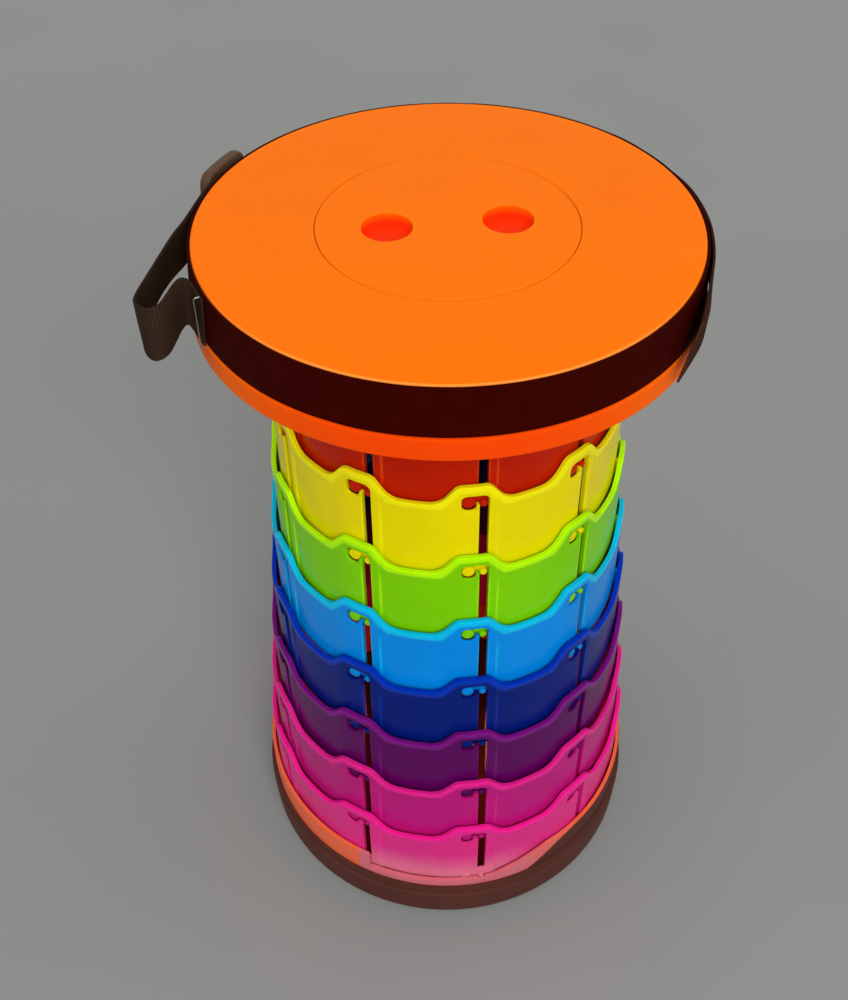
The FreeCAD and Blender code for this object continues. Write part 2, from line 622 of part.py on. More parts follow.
def seatLid():
    """Lift-out lid in the middle of the seat, with a centring hoop and two finger cups."""
    body = newBody("seat_lid")
    disc = revolve(body, "Disc", [
        ("0", "plateUnderside"),
        ("ledgeInside - lidGap - lidHoopWall", "plateUnderside"),
        ("ledgeInside - lidGap - lidHoopWall", "plateUnderside - lidHoopDepth"),
        ("ledgeInside - lidGap", "plateUnderside - lidHoopDepth"),
        ("ledgeInside - lidGap", "plateUnderside"),
        ("lidRadius", "plateUnderside"),
        ("lidRadius", "seatTop - lidEdge"),
        ("lidRadius - lidEdge", "seatTop"),
        ("0", "seatTop"),
    ])
    shellSketch = levelSketch(body, "CupShellSketch", "seatTop - cupDepth - cupWall")
    circle(shellSketch, "cupOffset", "0", "cupRadius + cupWall")
    shell = pad(body, "CupShell", shellSketch, "cupDepth + cupWall - plateThickness / 2")
    cupSketch = levelSketch(body, "CupSketch", "seatTop - cupDepth")
    circle(cupSketch, "cupOffset", "0", "cupRadius")
    cup = pocket(body, "Cup", cupSketch, "cupDepth")
    cups = aroundAxis(body, "Cups", [shell, cup], "2")
    mouths = []
    for number, edge in enumerate(cups.Shape.Edges, start=1):
        round = getattr(edge.Curve, "Radius", 0)
        if abs(round - value("cupRadius")) < 0.01 and abs(edge.BoundBox.ZMin - value("seatTop")) < 0.01:
            mouths.append("Edge%d" % number)
    fillet(body, "CupRounding", cups, mouths, "cupFillet")
    turned(body, "cupTurn")
    return body


# Strap

def strapBand():
    """Webbing band that lies in the seat on the tapered rim."""
    body = newBody("strap_band")
    slope = "(rimTaper / strapGrooveHeight)"
    topRadius = "(rimRadiusTop + strapClearance)"
    lowRadius = "(%s + strapWidth * %s)" % (topRadius, slope)
    revolve(body, "Band", [
        (topRadius, "strapTop"),
        (topRadius + " + strapThickness", "strapTop"),
        (lowRadius + " + strapThickness", "strapTop - strapWidth"),
        (lowRadius, "strapTop - strapWidth"),
    ])
    return body


def aroundStool(radius, azimuth, height):
    """A point at a turn from the front, towards the right."""
    turn = math.radians(azimuth)
    return FreeCAD.Vector(radius * math.sin(turn), -radius * math.cos(turn), height)


def ribbon(label, stations, sectionCount):
    """Webbing that runs on edge through stations of azimuth, stand-off, rise, lean and the lower edge's lead."""
    width = value("strapWidth")
    half = value("strapThickness") / 2
    resting = value("bandOutsideTop + strapClearance") + half
    tops = []
    lows = []
    for azimuth, standOff, rise, lean, lead in stations:
        height = value("strapTop") + rise
        drop = math.sqrt(width ** 2 - lean ** 2)
        tops.append(aroundStool(resting + standOff, azimuth, height))
        lows.append(aroundStool(resting + standOff + lean, azimuth + lead, height - drop))
    distances = [0.0]
    for here, there in zip(tops, tops[1:]):
        distances.append(distances[-1] + here.distanceToPoint(there))
    share = [distance / distances[-1] for distance in distances]
    upperEdge = Part.BSplineCurve()
    upperEdge.interpolate(Points=tops, Parameters=share)
    lowerEdge = Part.BSplineCurve()
    lowerEdge.interpolate(Points=lows, Parameters=share)
    sections = []
    for index in range(sectionCount):
        along = index / (sectionCount - 1)
        top = upperEdge.value(along)
        low = lowerEdge.value(along)
        across = upperEdge.tangent(along)[0].cross(low - top)
        across.normalize()
        across = across * half
        corners = [top + across, low + across, low - across, top - across]
        sections.append(Part.makePolygon(corners + corners[:1]))
    feature = doc.addObject("Part::Feature", label)
    feature.Label = label
    feature.Shape = Part.makeLoft(sections, True, False)
    feature.Placement = FreeCAD.Placement()
    return feature


restingLean = value("rimTaper") * value("strapWidth") / value("strapGrooveHeight")

loopSections = 44
tailSections = 30

# Carry loop: leaves the rim near the buckle, folds slantwise at its outer end and comes back under the keeper.
loopStations = [
    (-113, 0.1, 0.0, restingLean, 0),
    (-104, 0.1, 0.0, restingLean, 0),
    (-97, 0.6, 0.0, 2.6, 0),
    (-91, 2.3, 0.0, 3.2, 0),
    (-86.6, 5.2, 0.0, 4.0, 0),
    (-82.6, 8.1, 0.0, 4.6, 0),
    (-78.7, 11.3, 0.0, 4.8, 0),
    (-74.7, 15.5, 0.0, 4.4, 0),
    (-70.9, 20.4, 0.0, 3.4, 0.4),
    (-67.2, 25.8, 0.3, 1.4, 1.6),
    (-64.8, 28.0, 1.0, 0.2, 2.6),
    (-62.2, 27.2, 2.2, 0.0, 2.6),
    (-60.6, 24.4, 3.0, 0.0, 1.8),
    (-60.6, 19.6, 3.6, 0.0, 1.0),
    (-61.9, 14.6, 5.2, 0.0, 0.4),
    (-63.6, 9.8, 6.6, 0.4, 0),
    (-64.9, 5.8, 6.6, 1.2, 0),
    (-65.1, 3.0, 5.0, 2.0, 0),
    (-64.1, 1.5, 2.8, restingLean, 0),
    (-62.6, 0.8, 0.9, restingLean, 0),
    (-60.8, 0.3, 0.0, restingLean, 0),
    (-59.2, 0.15, 0.0, restingLean, 0),
]

# Free end: second layer round the back, standing off the rim towards its drooping end.
tailStations = [(azimuth, 0.05, 0.0, restingLean, 0) for azimuth in range(237, 117, -12)]
tailStations += [
    (109, 0.4, 0.0, restingLean, 0),
    (99, 1.4, 0.0, restingLean, 0),
    (89, 2.6, 0.0, 2.0, 0),
    (79, 3.8, -0.4, 2.0, 0),
    (69, 4.4, -1.0, 2.0, 0),
    (61, 4.2, -2.4, 1.6, 0),
    (54, 3.8, -4.6, 1.2, 0),
    (48, 3.4, -7.0, 1.0, 0),
]


def sideSketch(body, name):
    """A sketch in the upright plane through the axis, with the front at negative lengths."""
    sketch = body.newObject("Sketcher::SketchObject", name)
    sketch.AttachmentSupport = [(originPlane(body, "YZ_Plane"), "")]
    sketch.MapMode = "FlatFace"
    return sketch


def strapBuckle():
    """Plastic slider that leans with the webbing: rounded plate with two windows and a middle bar."""
    body = newBody("strap_buckle")
    top = "(strapTop + buckleRise)"
    upper = "(bandOutsideTop + strapThickness + strapClearance * 4)"
    lower = "(%s + buckleHeight * rimTaper / strapGrooveHeight)" % upper
    side = sideSketch(body, "SideSketch")
    polygon(side, [
        ("-%s - buckleThickness" % upper, top),
        ("-%s - buckleThickness" % lower, top + " - buckleHeight"),
        ("-%s" % lower, top + " - buckleHeight"),
        ("-%s" % upper, top),
    ])
    plate = pad(body, "Plate", side, "buckleLength", midplane=True)
    end = value("buckleLength / 2")
    corners = [
        "Edge%d" % number for number, edge in enumerate(plate.Shape.Edges, start=1)
        if abs(abs(edge.CenterOfMass.x) - end) < 0.01 and edge.BoundBox.ZLength < 0.01
    ]
    fillet(body, "Corners", plate, corners, "buckleFillet")
    for name, turn in (("LeftWindow", "-1"), ("RightWindow", "1")):
        near = "(%s * buckleBar / 2)" % turn
        far = "(%s * (buckleLength / 2 - buckleBar))" % turn
        windowSketch = frontSketch(body, name + "Sketch", "0", upper)
        polygon(windowSketch, [
            (near, top + " - buckleHeight + buckleBar"),
            (far, top + " - buckleHeight + buckleBar"),
            (far, top + " - buckleTopBar"),
            (near, top + " - buckleTopBar"),
        ])
        pocket(body, name, windowSketch, "buckleThickness + (%s) - (%s) + overcut" % (lower, upper))
    turned(body, "buckleAzimuth")
    return body


def strapKeeper():
    """Wire clip that holds the loop's end against the band."""
    body = newBody("strap_keeper")
    inner = "(bandOutsideBottom + strapClearance * 6 + strapThickness)"
    upperHook = "(%s - keeperHook * 2)" % inner
    lowerHook = "(%s - keeperHook)" % inner
    sketch = sideSketch(body, "KeeperSketch")
    top = "(strapTop + strapClearance * 4)"
    low = "(strapTop - strapWidth - strapClearance * 2)"
    polygon(sketch, [
        ("-%s - keeperWire" % inner, low + " - keeperWire"),
        ("-%s" % lowerHook, low + " - keeperWire"),
        ("-%s" % lowerHook, low),
        ("-%s" % inner, low),
        ("-%s" % inner, top),
        ("-%s" % upperHook, top),
        ("-%s" % upperHook, top + " + keeperWire"),
        ("-%s - keeperWire" % inner, top + " + keeperWire"),
    ])
    pad(body, "Clip", sketch, "keeperWire", midplane=True)
    turned(body, "keeperAzimuth")
    return body


parts += [seatTop(), seatTube(), seatScrews(), seatLid(), strapBand(),
          ribbon("strap_loop", loopStations, loopSections), ribbon("strap_tail", tailStations, tailSections),
          strapBuckle(), strapKeeper()]

# Check everything, then write one file for each part.
doc.recompute()
for item in doc.Objects:
    if "Invalid" in item.State or "Error" in item.State:
        raise RuntimeError("%s failed: %s" % (item.Label, item.State))
for item in parts:
    if item.Shape.isNull() or not item.Shape.isValid():
        raise RuntimeError(item.Label + " has no valid shape")

os.makedirs("parts", exist_ok=True)
for item in parts:
    item.Shape.exportStep("parts/%s.step" % item.Label)
    print(item.Label, len(item.Shape.Solids), round(item.Shape.Volume))
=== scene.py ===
import math

import bmesh
import bpy
from mathutils import Matrix, Vector, noise


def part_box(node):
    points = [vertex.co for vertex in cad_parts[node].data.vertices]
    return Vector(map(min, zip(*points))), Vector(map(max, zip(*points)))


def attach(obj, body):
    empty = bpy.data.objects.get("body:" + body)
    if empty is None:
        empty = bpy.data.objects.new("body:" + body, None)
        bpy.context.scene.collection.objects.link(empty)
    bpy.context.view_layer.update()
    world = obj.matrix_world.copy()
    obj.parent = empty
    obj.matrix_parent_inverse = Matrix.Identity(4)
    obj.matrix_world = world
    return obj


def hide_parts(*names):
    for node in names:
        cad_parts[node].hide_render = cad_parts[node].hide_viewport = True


# Collapsible stool: metres, +Z up, the front is towards -Y. Azimuths turn from the front towards +X.
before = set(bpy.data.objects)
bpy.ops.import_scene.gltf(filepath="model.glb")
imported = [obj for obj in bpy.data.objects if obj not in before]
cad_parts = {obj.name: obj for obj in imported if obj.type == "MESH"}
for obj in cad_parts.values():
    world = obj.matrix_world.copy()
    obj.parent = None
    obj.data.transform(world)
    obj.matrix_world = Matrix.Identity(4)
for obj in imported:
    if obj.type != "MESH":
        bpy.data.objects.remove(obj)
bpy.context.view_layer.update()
print("frame loaded")

axisUp = Vector((0, 0, 1))
milli = 0.001


# sRGB hex to the linear colour that a socket takes.
def linearColour(hexText):
    channels = [int(hexText[start:start + 2], 16) / 255 for start in (1, 3, 5)]
    return [c / 12.92 if c <= 0.04045 else ((c + 0.055) / 1.055) ** 2.4 for c in channels] + [1.0]


# Adds a node, sets its properties and inputs, and links what comes in.
def addNode(tree, kind, settings=None, links=None):
    node = tree.nodes.new(kind)
    for key, setting in (settings or {}).items():
        if isinstance(key, str) and hasattr(node, key):
            setattr(node, key, setting)
        else:
            node.inputs[key].default_value = setting
    for key, source in (links or {}).items():
        tree.links.new(source, node.inputs[key])
    return node


# A material with a Principled shader, ready for its colour and bump.
def newMaterial(name):
    material = bpy.data.materials.new(name)
    material.use_nodes = True
    tree = material.node_tree
    return material, tree, tree.nodes["Principled BSDF"]


# Turns a bmesh into a piece that rides on its body, with crisp edges above an angle.
def finishPiece(name, mesh, material, body, replaced=(), smoothAngle=35):
    data = bpy.data.meshes.new(name)
    for face in mesh.faces:
        face.smooth = True
    for edge in mesh.edges:
        edge.smooth = len(edge.link_faces) == 2 and edge.calc_face_angle(0) < math.radians(smoothAngle)
    mesh.to_mesh(data)
    mesh.free()
    piece = bpy.data.objects.new(name, data)
    bpy.context.scene.collection.objects.link(piece)
    data.materials.append(material)
    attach(piece, body)
    if replaced:
        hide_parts(*replaced)
    return piece


def weightNormals(piece):
    modifier = piece.modifiers.new("weightedNormals", "WEIGHTED_NORMAL")
    modifier.keep_sharp = True
    modifier.weight = 80


def onCircle(radius, degrees, height):
    turn = math.radians(degrees)
    return Vector((radius * math.sin(turn), -radius * math.cos(turn), height))


# Moulded plastic

seatLook = {
    "colour": "#FF7505",
    "roughness": 0.42,
    "grain": 0.5 * milli,
    "bump": 0.05,
    "mottle": 0.015,
    "cloud": 32 * milli,
    "specular": 0.06,
    "subsurface": 0.3,
    "depth": 3.0 * milli,  # how far light travels in it
}

ringLook = {
    "roughness": 0.26,
    "grain": 0.35 * milli,
    "bump": 0.03,
    "mottle": 0.03,
    "cloud": 26 * milli,
    "specular": 0.16,
    "subsurface": 0.35,
    "depth": 3.5 * milli,
}

# Each ring: its wall colour, and a lighter rim colour that paints highlights on its rim band, beside its slots and on
# its panel steps.
ringColours = {
    "pink": ("#E42A86", "#FF1E96"),
    "magenta": ("#BC1279", "#F0208F"),
    "purple": ("#580158", "#7A1280"),
    "navy": ("#001B74", "#0234B0"),
    "light_blue": ("#008AE2", "#0ABEF0"),
    "green": ("#7ED000", "#B6FF04"),
    "yellow": ("#F0DA00", "#FFF00A"),
    # The orange ring's wall is a darker red than its plastic: painted shade of the seat above it.
    "orange": ("#BC1E03", "#EE4A0C"),
}


# What all the moulded plastic shares.
plasticFinish = {
    "ior": 1.49,
    "bumpDepth": 0.3 * milli,
    "spread": (-0.06, 0.08),  # how roughness varies between polished and worn places
    "cloudRange": (0.3, 0.7),
    "scatter": (1.0, 0.45, 0.3),  # red light goes furthest
}


# A share that is 1 in one stretch of a piece: each range is an axis, where it begins and where it counts in full.
def stretchShare(tree, place, ranges):
    parts = addNode(tree, "ShaderNodeSeparateXYZ", None, {"Vector": place.outputs["Object"]})
    total = None
    for axis, start, full in ranges:
        part = addNode(tree, "ShaderNodeMapRange", {"From Min": start, "From Max": full},
                       {"Value": parts.outputs[axis]}).outputs["Result"]
        if total:
            part = addNode(tree, "ShaderNodeMath", {"operation": "MULTIPLY"}, {0: total, 1: part}).outputs[0]
        total = part
    return total


# Injection-moulded: satin where the tool was grained, glossy where it was polished, lit through where thin.
# Accents are pairs of a mesh attribute, or of ranges, and the colour that it brings.
def mouldedPlastic(name, look, accents=()):
    material, tree, shader = newMaterial(name)
    colour = linearColour(look["colour"])
    place = addNode(tree, "ShaderNodeTexCoord")
    cloud = addNode(tree, "ShaderNodeTexNoise", {"Scale": 1 / look["cloud"], "Detail": 3.0},
                    {"Vector": place.outputs["Object"]})
    faint, strong = plasticFinish["cloudRange"]
    shade = addNode(tree, "ShaderNodeMapRange", {"From Min": faint, "From Max": strong, "To Min": 1 - look["mottle"],
                                                 "To Max": 1 + look["mottle"]},
                    {"Value": cloud.outputs["Fac"]})
    painted = None
    for attribute, accent in accents:
        if isinstance(attribute, str):
            share = addNode(tree, "ShaderNodeAttribute", {"attribute_name": attribute}).outputs["Fac"]
        else:
            share = stretchShare(tree, place, attribute)
        mixed = addNode(tree, "ShaderNodeMix", {"data_type": "RGBA", 6: colour, 7: linearColour(accent)}, {0: share})
        if painted:
            tree.links.new(painted, mixed.inputs[6])
        painted = mixed.outputs[2]
    tinted = addNode(tree, "ShaderNodeVectorMath", {"operation": "SCALE", 0: colour[:3]},
                     {"Scale": shade.outputs["Result"]})
    if painted:
        tree.links.new(painted, tinted.inputs[0])
    grain = addNode(tree, "ShaderNodeTexNoise", {"Scale": 1 / look["grain"], "Detail": 3.0},
                    {"Vector": place.outputs["Object"]})
    bump = addNode(tree, "ShaderNodeBump", {"Strength": look["bump"], "Distance": plasticFinish["bumpDepth"]},
                   {"Height": grain.outputs["Fac"]})
    polished, worn = plasticFinish["spread"]
    rough = addNode(tree, "ShaderNodeMapRange", {"To Min": look["roughness"] + polished,
                                                 "To Max": look["roughness"] + worn}, {"Value": cloud.outputs["Fac"]})
    shader.inputs["IOR"].default_value = plasticFinish["ior"]
    shader.inputs["Specular IOR Level"].default_value = look["specular"]
    shader.inputs["Specular Tint"].default_value = colour  # deep pigment: its shine is coloured, not milky
    shader.inputs["Subsurface Weight"].default_value = look["subsurface"]
    shader.inputs["Subsurface Scale"].default_value = look["depth"]
    shader.inputs["Subsurface Radius"].default_value = plasticFinish["scatter"]
    tree.links.new(tinted.outputs["Vector"], shader.inputs["Base Color"])
    tree.links.new(rough.outputs["Result"], shader.inputs["Roughness"])
    tree.links.new(bump.outputs["Normal"], shader.inputs["Normal"])
    return material


# Rings

ringShape = {
    "slotCount": 10,
    "slotAzimuth": 11.4,
    "largestRadius": 119.2 * milli,
    "step": 4.19 * milli,
    "wall": 2.3 * milli,
    "gap": 1.89 * milli,
    "baseGap": 1.5 * milli,
    "crest": 60.5 * milli,
    "trough": 49.0 * milli,
    "troughEdges": (7.2, 22.4),  # degrees from a slot
    "crestEdges": (1.9, 27.7),
    "crestRound": 2.6 * milli,
    "troughRound": 5.0 * milli,
    "channel": 4.8 * milli,
    "band": 11.0 * milli,
    "groove": 1.3 * milli,
    "pocketTurn": 4.65,
    "pocketWidth": 7.4 * milli,
    "pocketFloor": 44.7 * milli,
    "passageTop": 54.5 * milli,
    "cusp": 48.4 * milli,
    "hookRound": 3.4 * milli,
    "pocketRound": 3.0 * milli,
    "cuspRound": 0.7 * milli,
    "edgeRound": 0.45 * milli,
    "column": 1.8,  # degrees between the cuts that let the wall bend
    "dropColumn": 0.28,  # and on the panel's step, where there are a few more
    "dropColumns": 5,
    "levels": (10, 20, 30, 40),  # mm
    "bead": 3.4 * milli,
    "beadFade": 2.0 * milli,
    "beadOut": 0.45 * milli,
    "reliefOut": 0.6 * milli,
    "reliefRise": (-15.0, -9.0),
    "reliefDrop": (3.9, 5.0),
    # Painted highlight lines beside each slot and on each panel's step: where they lie, fade and how strong they are.
    "slotLine": (2.9, 3.4),  # mm from the slot's middle, where its bright edge fades
    "slotLineFoot": (0.010, 0.013),
    "slotLineTop": (0.043, 0.0455),
    "slotLineShare": 0.55,
    "stepLine": (3.9, 4.3, 5.1),  # degrees of the panel's bright step
    "stepLineFoot": (0.008, 0.013),
    "stepLineTop": (0.038, 0.042),
    "stepLineShare": 0.75,
    "pegRadius": 2.0 * milli,
    "pegHeight": 2.1 * milli,
    "pegReach": 1.1 * milli,  # into the next wall
    "knobRadius": 3.4 * milli,
    "knobHeight": 3.45 * milli,
    "knobShort": 0.35 * milli,
    "pegRound": 0.7 * milli,
    "root": 0.6 * milli,
}

sharpAngle = math.radians(60)  # edges above it are rounded
tiny = 1e-7


def smoothStep(low, high, number):
    share = min(1, max(0, (number - low) / (high - low)))
    return share * share * (3 - 2 * share)


# A flat face with rounded corners: each corner is across, up, radius.
def polygonFace(mesh, corners):
    verts = [mesh.verts.new((across, 0, up)) for across, up, radius in corners]
    mesh.faces.new(verts)
    for vert, (across, up, radius) in zip(verts, corners):
        if radius:
            bmesh.ops.bevel(mesh, geom=[vert], offset=radius, segments=5, profile=0.5,
                            affect="VERTICES", clamp_overlap=False, material=-1)


# Fills what lies between outlines.
def fillBetween(mesh):
    bmesh.ops.delete(mesh, geom=mesh.faces[:], context="FACES_ONLY")
    bmesh.ops.triangle_fill(mesh, use_beauty=True, edges=mesh.edges[:])


def vertsIn(geometry):
    return [part for part in geometry if isinstance(part, bmesh.types.BMVert)]


# The edges between chosen vertices, in the order of the vertices.
def edgesAmong(verts):
    chosen = set(verts)
    edges = dict.fromkeys(edge for vert in verts for edge in vert.link_edges)
    return [edge for edge in edges if all(vert in chosen for vert in edge.verts)]


# Extrudes faces by a step and gives back what is new. Kept faces close the shape behind.
def pushOut(mesh, faces, step, keep=False):
    made = bmesh.ops.extrude_face_region(mesh, geom=faces, use_keep_orig=keep)["geom"]
    bmesh.ops.translate(mesh, vec=step, verts=vertsIn(made))
    return made


def roundEdges(mesh, edges, offset, segments, clamp=False):
    bmesh.ops.bevel(mesh, geom=edges, offset=offset, segments=segments, profile=0.5, affect="EDGES",
                    clamp_overlap=clamp, material=-1)


def cutAcross(mesh, point, normal):
    bmesh.ops.bisect_plane(mesh, geom=mesh.verts[:] + mesh.edges[:] + mesh.faces[:], dist=tiny,
                           plane_co=point, plane_no=normal)


# Distance in the flat wall from a point to a stretch of its top edge.
def distanceTo(point, start, end):
    along = end - start
    share = min(1, max(0, (point - start).dot(along) / along.length_squared))
    return (point - start - along * share).length


# A short round rod along a direction, with a rounded free end.
def addRod(mesh, place, outwards, radius, start, end, rounding):
    turn = outwards.to_track_quat("Z", "Y").to_matrix().to_4x4()
    matrix = Matrix.Translation(place + outwards * (start + end) / 2) @ turn
    made = bmesh.ops.create_cone(mesh, cap_ends=True, segments=24, radius1=radius, radius2=radius,
                                 depth=end - start, matrix=matrix)
    rim = [vert for vert in made["verts"] if (vert.co - place).dot(outwards) > (start + end) / 2]
    roundEdges(mesh, edgesAmong(rim), rounding, 3)


# One tenth of a ring's wall, flat: across is the arc length from its slot, depth runs inwards.
def ringSector(radius):
    shape = ringShape
    arc = radius * math.radians(1)
    half = 180 / shape["slotCount"] * arc
    whole = 360 / shape["slotCount"]
    troughRight, troughLeft = shape["troughEdges"][0] * arc, (shape["troughEdges"][1] - whole) * arc
    crestRight, crestLeft = shape["crestEdges"][0] * arc, (shape["crestEdges"][1] - whole) * arc
    crest, trough = shape["crest"], shape["trough"]
    mesh = bmesh.new()
    polygonFace(mesh, [
        (-half, 0, 0), (half, 0, 0), (half, trough, 0),
        (troughRight, trough, shape["troughRound"]), (crestRight, crest, shape["crestRound"]),
        (crestLeft, crest, shape["crestRound"]), (troughLeft, trough, shape["troughRound"]),
        (-half, trough, 0),
    ])
    channel = shape["channel"] / 2
    middle = -shape["pocketTurn"] * arc
    left, right = middle - shape["pocketWidth"] / 2, middle + shape["pocketWidth"] / 2
    polygonFace(mesh, [
        (-channel, shape["band"], 0), (channel, shape["band"], 0),
        (channel, shape["passageTop"], shape["hookRound"]), (left, shape["passageTop"], shape["pocketRound"]),
        (left, shape["pocketFloor"], shape["hookRound"]), (right, shape["pocketFloor"], shape["pocketRound"]),
        (right, shape["cusp"], shape["cuspRound"]), (-channel, shape["cusp"], shape["cuspRound"]),
    ])
    fillBetween(mesh)

    # Behind the closed band and below the pocket the wall is thinner, so that pegs and knobs pass.
    def groovePart(face):
        centre = face.calc_center_median()
        behindBand = abs(centre.x) < channel and centre.z < shape["band"]
        return behindBand or (left < centre.x < right and centre.z < shape["cusp"])

    for across in (-channel, channel, left, right):
        cutAcross(mesh, (across, 0, 0), (1, 0, 0))
    cutAcross(mesh, (0, 0, shape["band"]), (0, 0, 1))
    outer = pushOut(mesh, mesh.faces[:], (0, shape["wall"] - shape["groove"], 0), keep=True)
    inner = [part for part in outer if isinstance(part, bmesh.types.BMFace) and not groovePart(part)]
    pushOut(mesh, inner, (0, shape["groove"], 0))
    bmesh.ops.recalc_face_normals(mesh, faces=mesh.faces[:])

    def onSide(vert):
        return abs(vert.co.x) > half - 1e-6

    rounded = [
        edge for edge in mesh.edges
        if len(edge.link_faces) == 2 and edge.calc_face_angle(0) > sharpAngle
        and not (onSide(edge.verts[0]) and onSide(edge.verts[1]))
        and (all(v.co.y < tiny for v in edge.verts)
             or all(v.co.y > shape["wall"] - tiny and v.co.z > trough - milli for v in edge.verts))
    ]
    roundEdges(mesh, rounded, shape["edgeRound"], 3)
    sides = [face for face in mesh.faces if all(onSide(v) for v in face.verts)]
    bmesh.ops.delete(mesh, geom=sides, context="FACES")

    columnCount = round(whole / 2 / shape["column"])
    columns = [shape["column"] * number for number in range(1 - columnCount, columnCount)]
    columns += [shape["reliefDrop"][0] + shape["dropColumn"] * number for number in range(shape["dropColumns"])]
    slotLine = [side * across * milli / arc for side in (-1, 1) for across in shape["slotLine"]]
    for degrees in columns + slotLine:
        cutAcross(mesh, (degrees * arc, 0, 0), (1, 0, 0))
    edgeLine = [Vector((-half, trough)), Vector((troughLeft, trough)), Vector((crestLeft, crest)),
                Vector((crestRight, crest)), Vector((troughRight, trough)), Vector((half, trough))]
    for start, end in zip(edgeLine, edgeLine[1:]):
        along = (end - start).normalized()
        down = Vector((along.y, -along.x))
        for drop in (shape["bead"] - shape["beadFade"] / 2, shape["bead"], shape["bead"] + shape["beadFade"] / 2):
            point = start + down * drop
            cutAcross(mesh, (point.x, 0, point.y), (down.x, 0, down.y))
    for level in shape["levels"]:
        cutAcross(mesh, (0, 0, level * milli), (0, 0, 1))
    return mesh, edgeLine, arc


# How strong the painted highlight line is at a place on a ring's wall: beside each slot and on the panel's step.
def highlightLineShare(across, degrees, up):
    shape = ringShape
    beside = abs(across) / milli
    slot = 1 - smoothStep(*shape["slotLine"], beside) if beside > shape["channel"] / 2 / milli - 0.05 else 0
    slot *= smoothStep(*shape["slotLineFoot"], up) * (1 - smoothStep(*shape["slotLineTop"], up))
    first, middle, last = shape["stepLine"]
    step = smoothStep(first, middle, degrees) * (1 - smoothStep(middle, last, degrees))
    step *= smoothStep(*shape["stepLineFoot"], up) * (1 - smoothStep(*shape["stepLineTop"], up))
    return max(shape["slotLineShare"] * slot, shape["stepLineShare"] * step)


# The lowest ring is paler at its front foot, where the floor shines on it.
paleFront = {
    "colour": "#E77C96",
    "fade": (14, 34),  # degrees
    "height": 0.032,
}


# A telescoping ring: wavy beaded rim, hooked slots, pegs and knobs at its foot.
def ringPiece(colourName, number, material, body):
    shape = ringShape
    node = "ring_" + colourName
    radius = shape["largestRadius"] - number * shape["step"]
    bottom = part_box(node)[0].z
    mesh, edgeLine, arc = ringSector(radius)
    paintedHighlightShare = mesh.verts.layers.float.new("paintedHighlightShare")
    for vert in mesh.verts:
        across, depth, up = vert.co
        degrees = across / arc
        flat = Vector((across, up))
        drop = min(distanceTo(flat, start, end) for start, end in zip(edgeLine, edgeLine[1:]))
        bead = 1 - smoothStep(shape["bead"] - shape["beadFade"] / 2, shape["bead"] + shape["beadFade"] / 2, drop)
        relief = smoothStep(*shape["reliefRise"], degrees) * (1 - smoothStep(*shape["reliefDrop"], degrees))
        frontShare = 1 - smoothStep(0.0, shape["wall"] * 0.6, depth)  # the inside stays smooth
        lift = frontShare * max(bead * shape["beadOut"], relief * shape["reliefOut"])
        # Painted highlight: the rim colour on the beaded rim band, and in lines beside the slots and on the panel's
        # step.
        vert[paintedHighlightShare] = max(bead, frontShare * highlightLineShare(across, degrees, up))
        vert.co = onCircle(radius - depth + lift, degrees, up + bottom)
    for vert in mesh.verts:
        vert.co = Matrix.Rotation(math.radians(shape["slotAzimuth"]), 3, "Z") @ vert.co
    gap = shape["gap"] if number else shape["baseGap"]
    knobReach = shape["pegReach"] if number else -shape["knobShort"]
    addPegs(mesh, radius, bottom, gap + shape["pegReach"], gap + knobReach)
    bmesh.ops.spin(mesh, geom=mesh.verts[:] + mesh.edges[:] + mesh.faces[:], cent=(0, 0, 0), axis=axisUp,
                   angle=math.radians(360 - 360 / shape["slotCount"]), steps=shape["slotCount"] - 1,
                   use_duplicate=True)
    bmesh.ops.remove_doubles(mesh, verts=mesh.verts[:], dist=1e-6)
    if not number:
        paleShare = mesh.verts.layers.float.new("paleShare")
        for vert in mesh.verts:
            degrees = math.degrees(math.atan2(vert.co.x, -vert.co.y))
            pale = 1 - smoothStep(*paleFront["fade"], degrees)
            if degrees <= shape["slotAzimuth"] - 360 / shape["slotCount"]:
                pale = 0
            vert[paleShare] = pale * (1 - smoothStep(0.0, paleFront["height"], vert.co.z - bottom))
    weightNormals(finishPiece(colourName + "Ring", mesh, material, body, [node]))


# The peg in the channel and the knob in the pocket, for one slot. Blind grooves in the next wall let them pass.
def addPegs(mesh, radius, bottom, pegReach, knobReach):
    shape = ringShape
    for kind, turn, reach in (("peg", 0, pegReach), ("knob", shape["pocketTurn"], knobReach)):
        degrees = shape["slotAzimuth"] - turn
        foot = onCircle(radius, degrees, bottom + shape[kind + "Height"])
        outwards = onCircle(1, degrees, 0)
        addRod(mesh, foot, outwards, shape[kind + "Radius"], -shape["root"], reach, shape["pegRound"])


for number, (colourName, (wall, rim)) in enumerate(ringColours.items()):
    # The rim colour is a painted highlight; on the lowest ring the pale front is painted floor light.
    accents = [("paintedHighlightShare", rim)] if number else [("paintedHighlightShare", rim), ("paleShare", paleFront["colour"])]
    plastic = mouldedPlastic(colourName + "Polypropylene", {**ringLook, "colour": wall}, accents)
    ringPiece(colourName, number, plastic, colourName + "_stage")
print("rings made")


# Seat

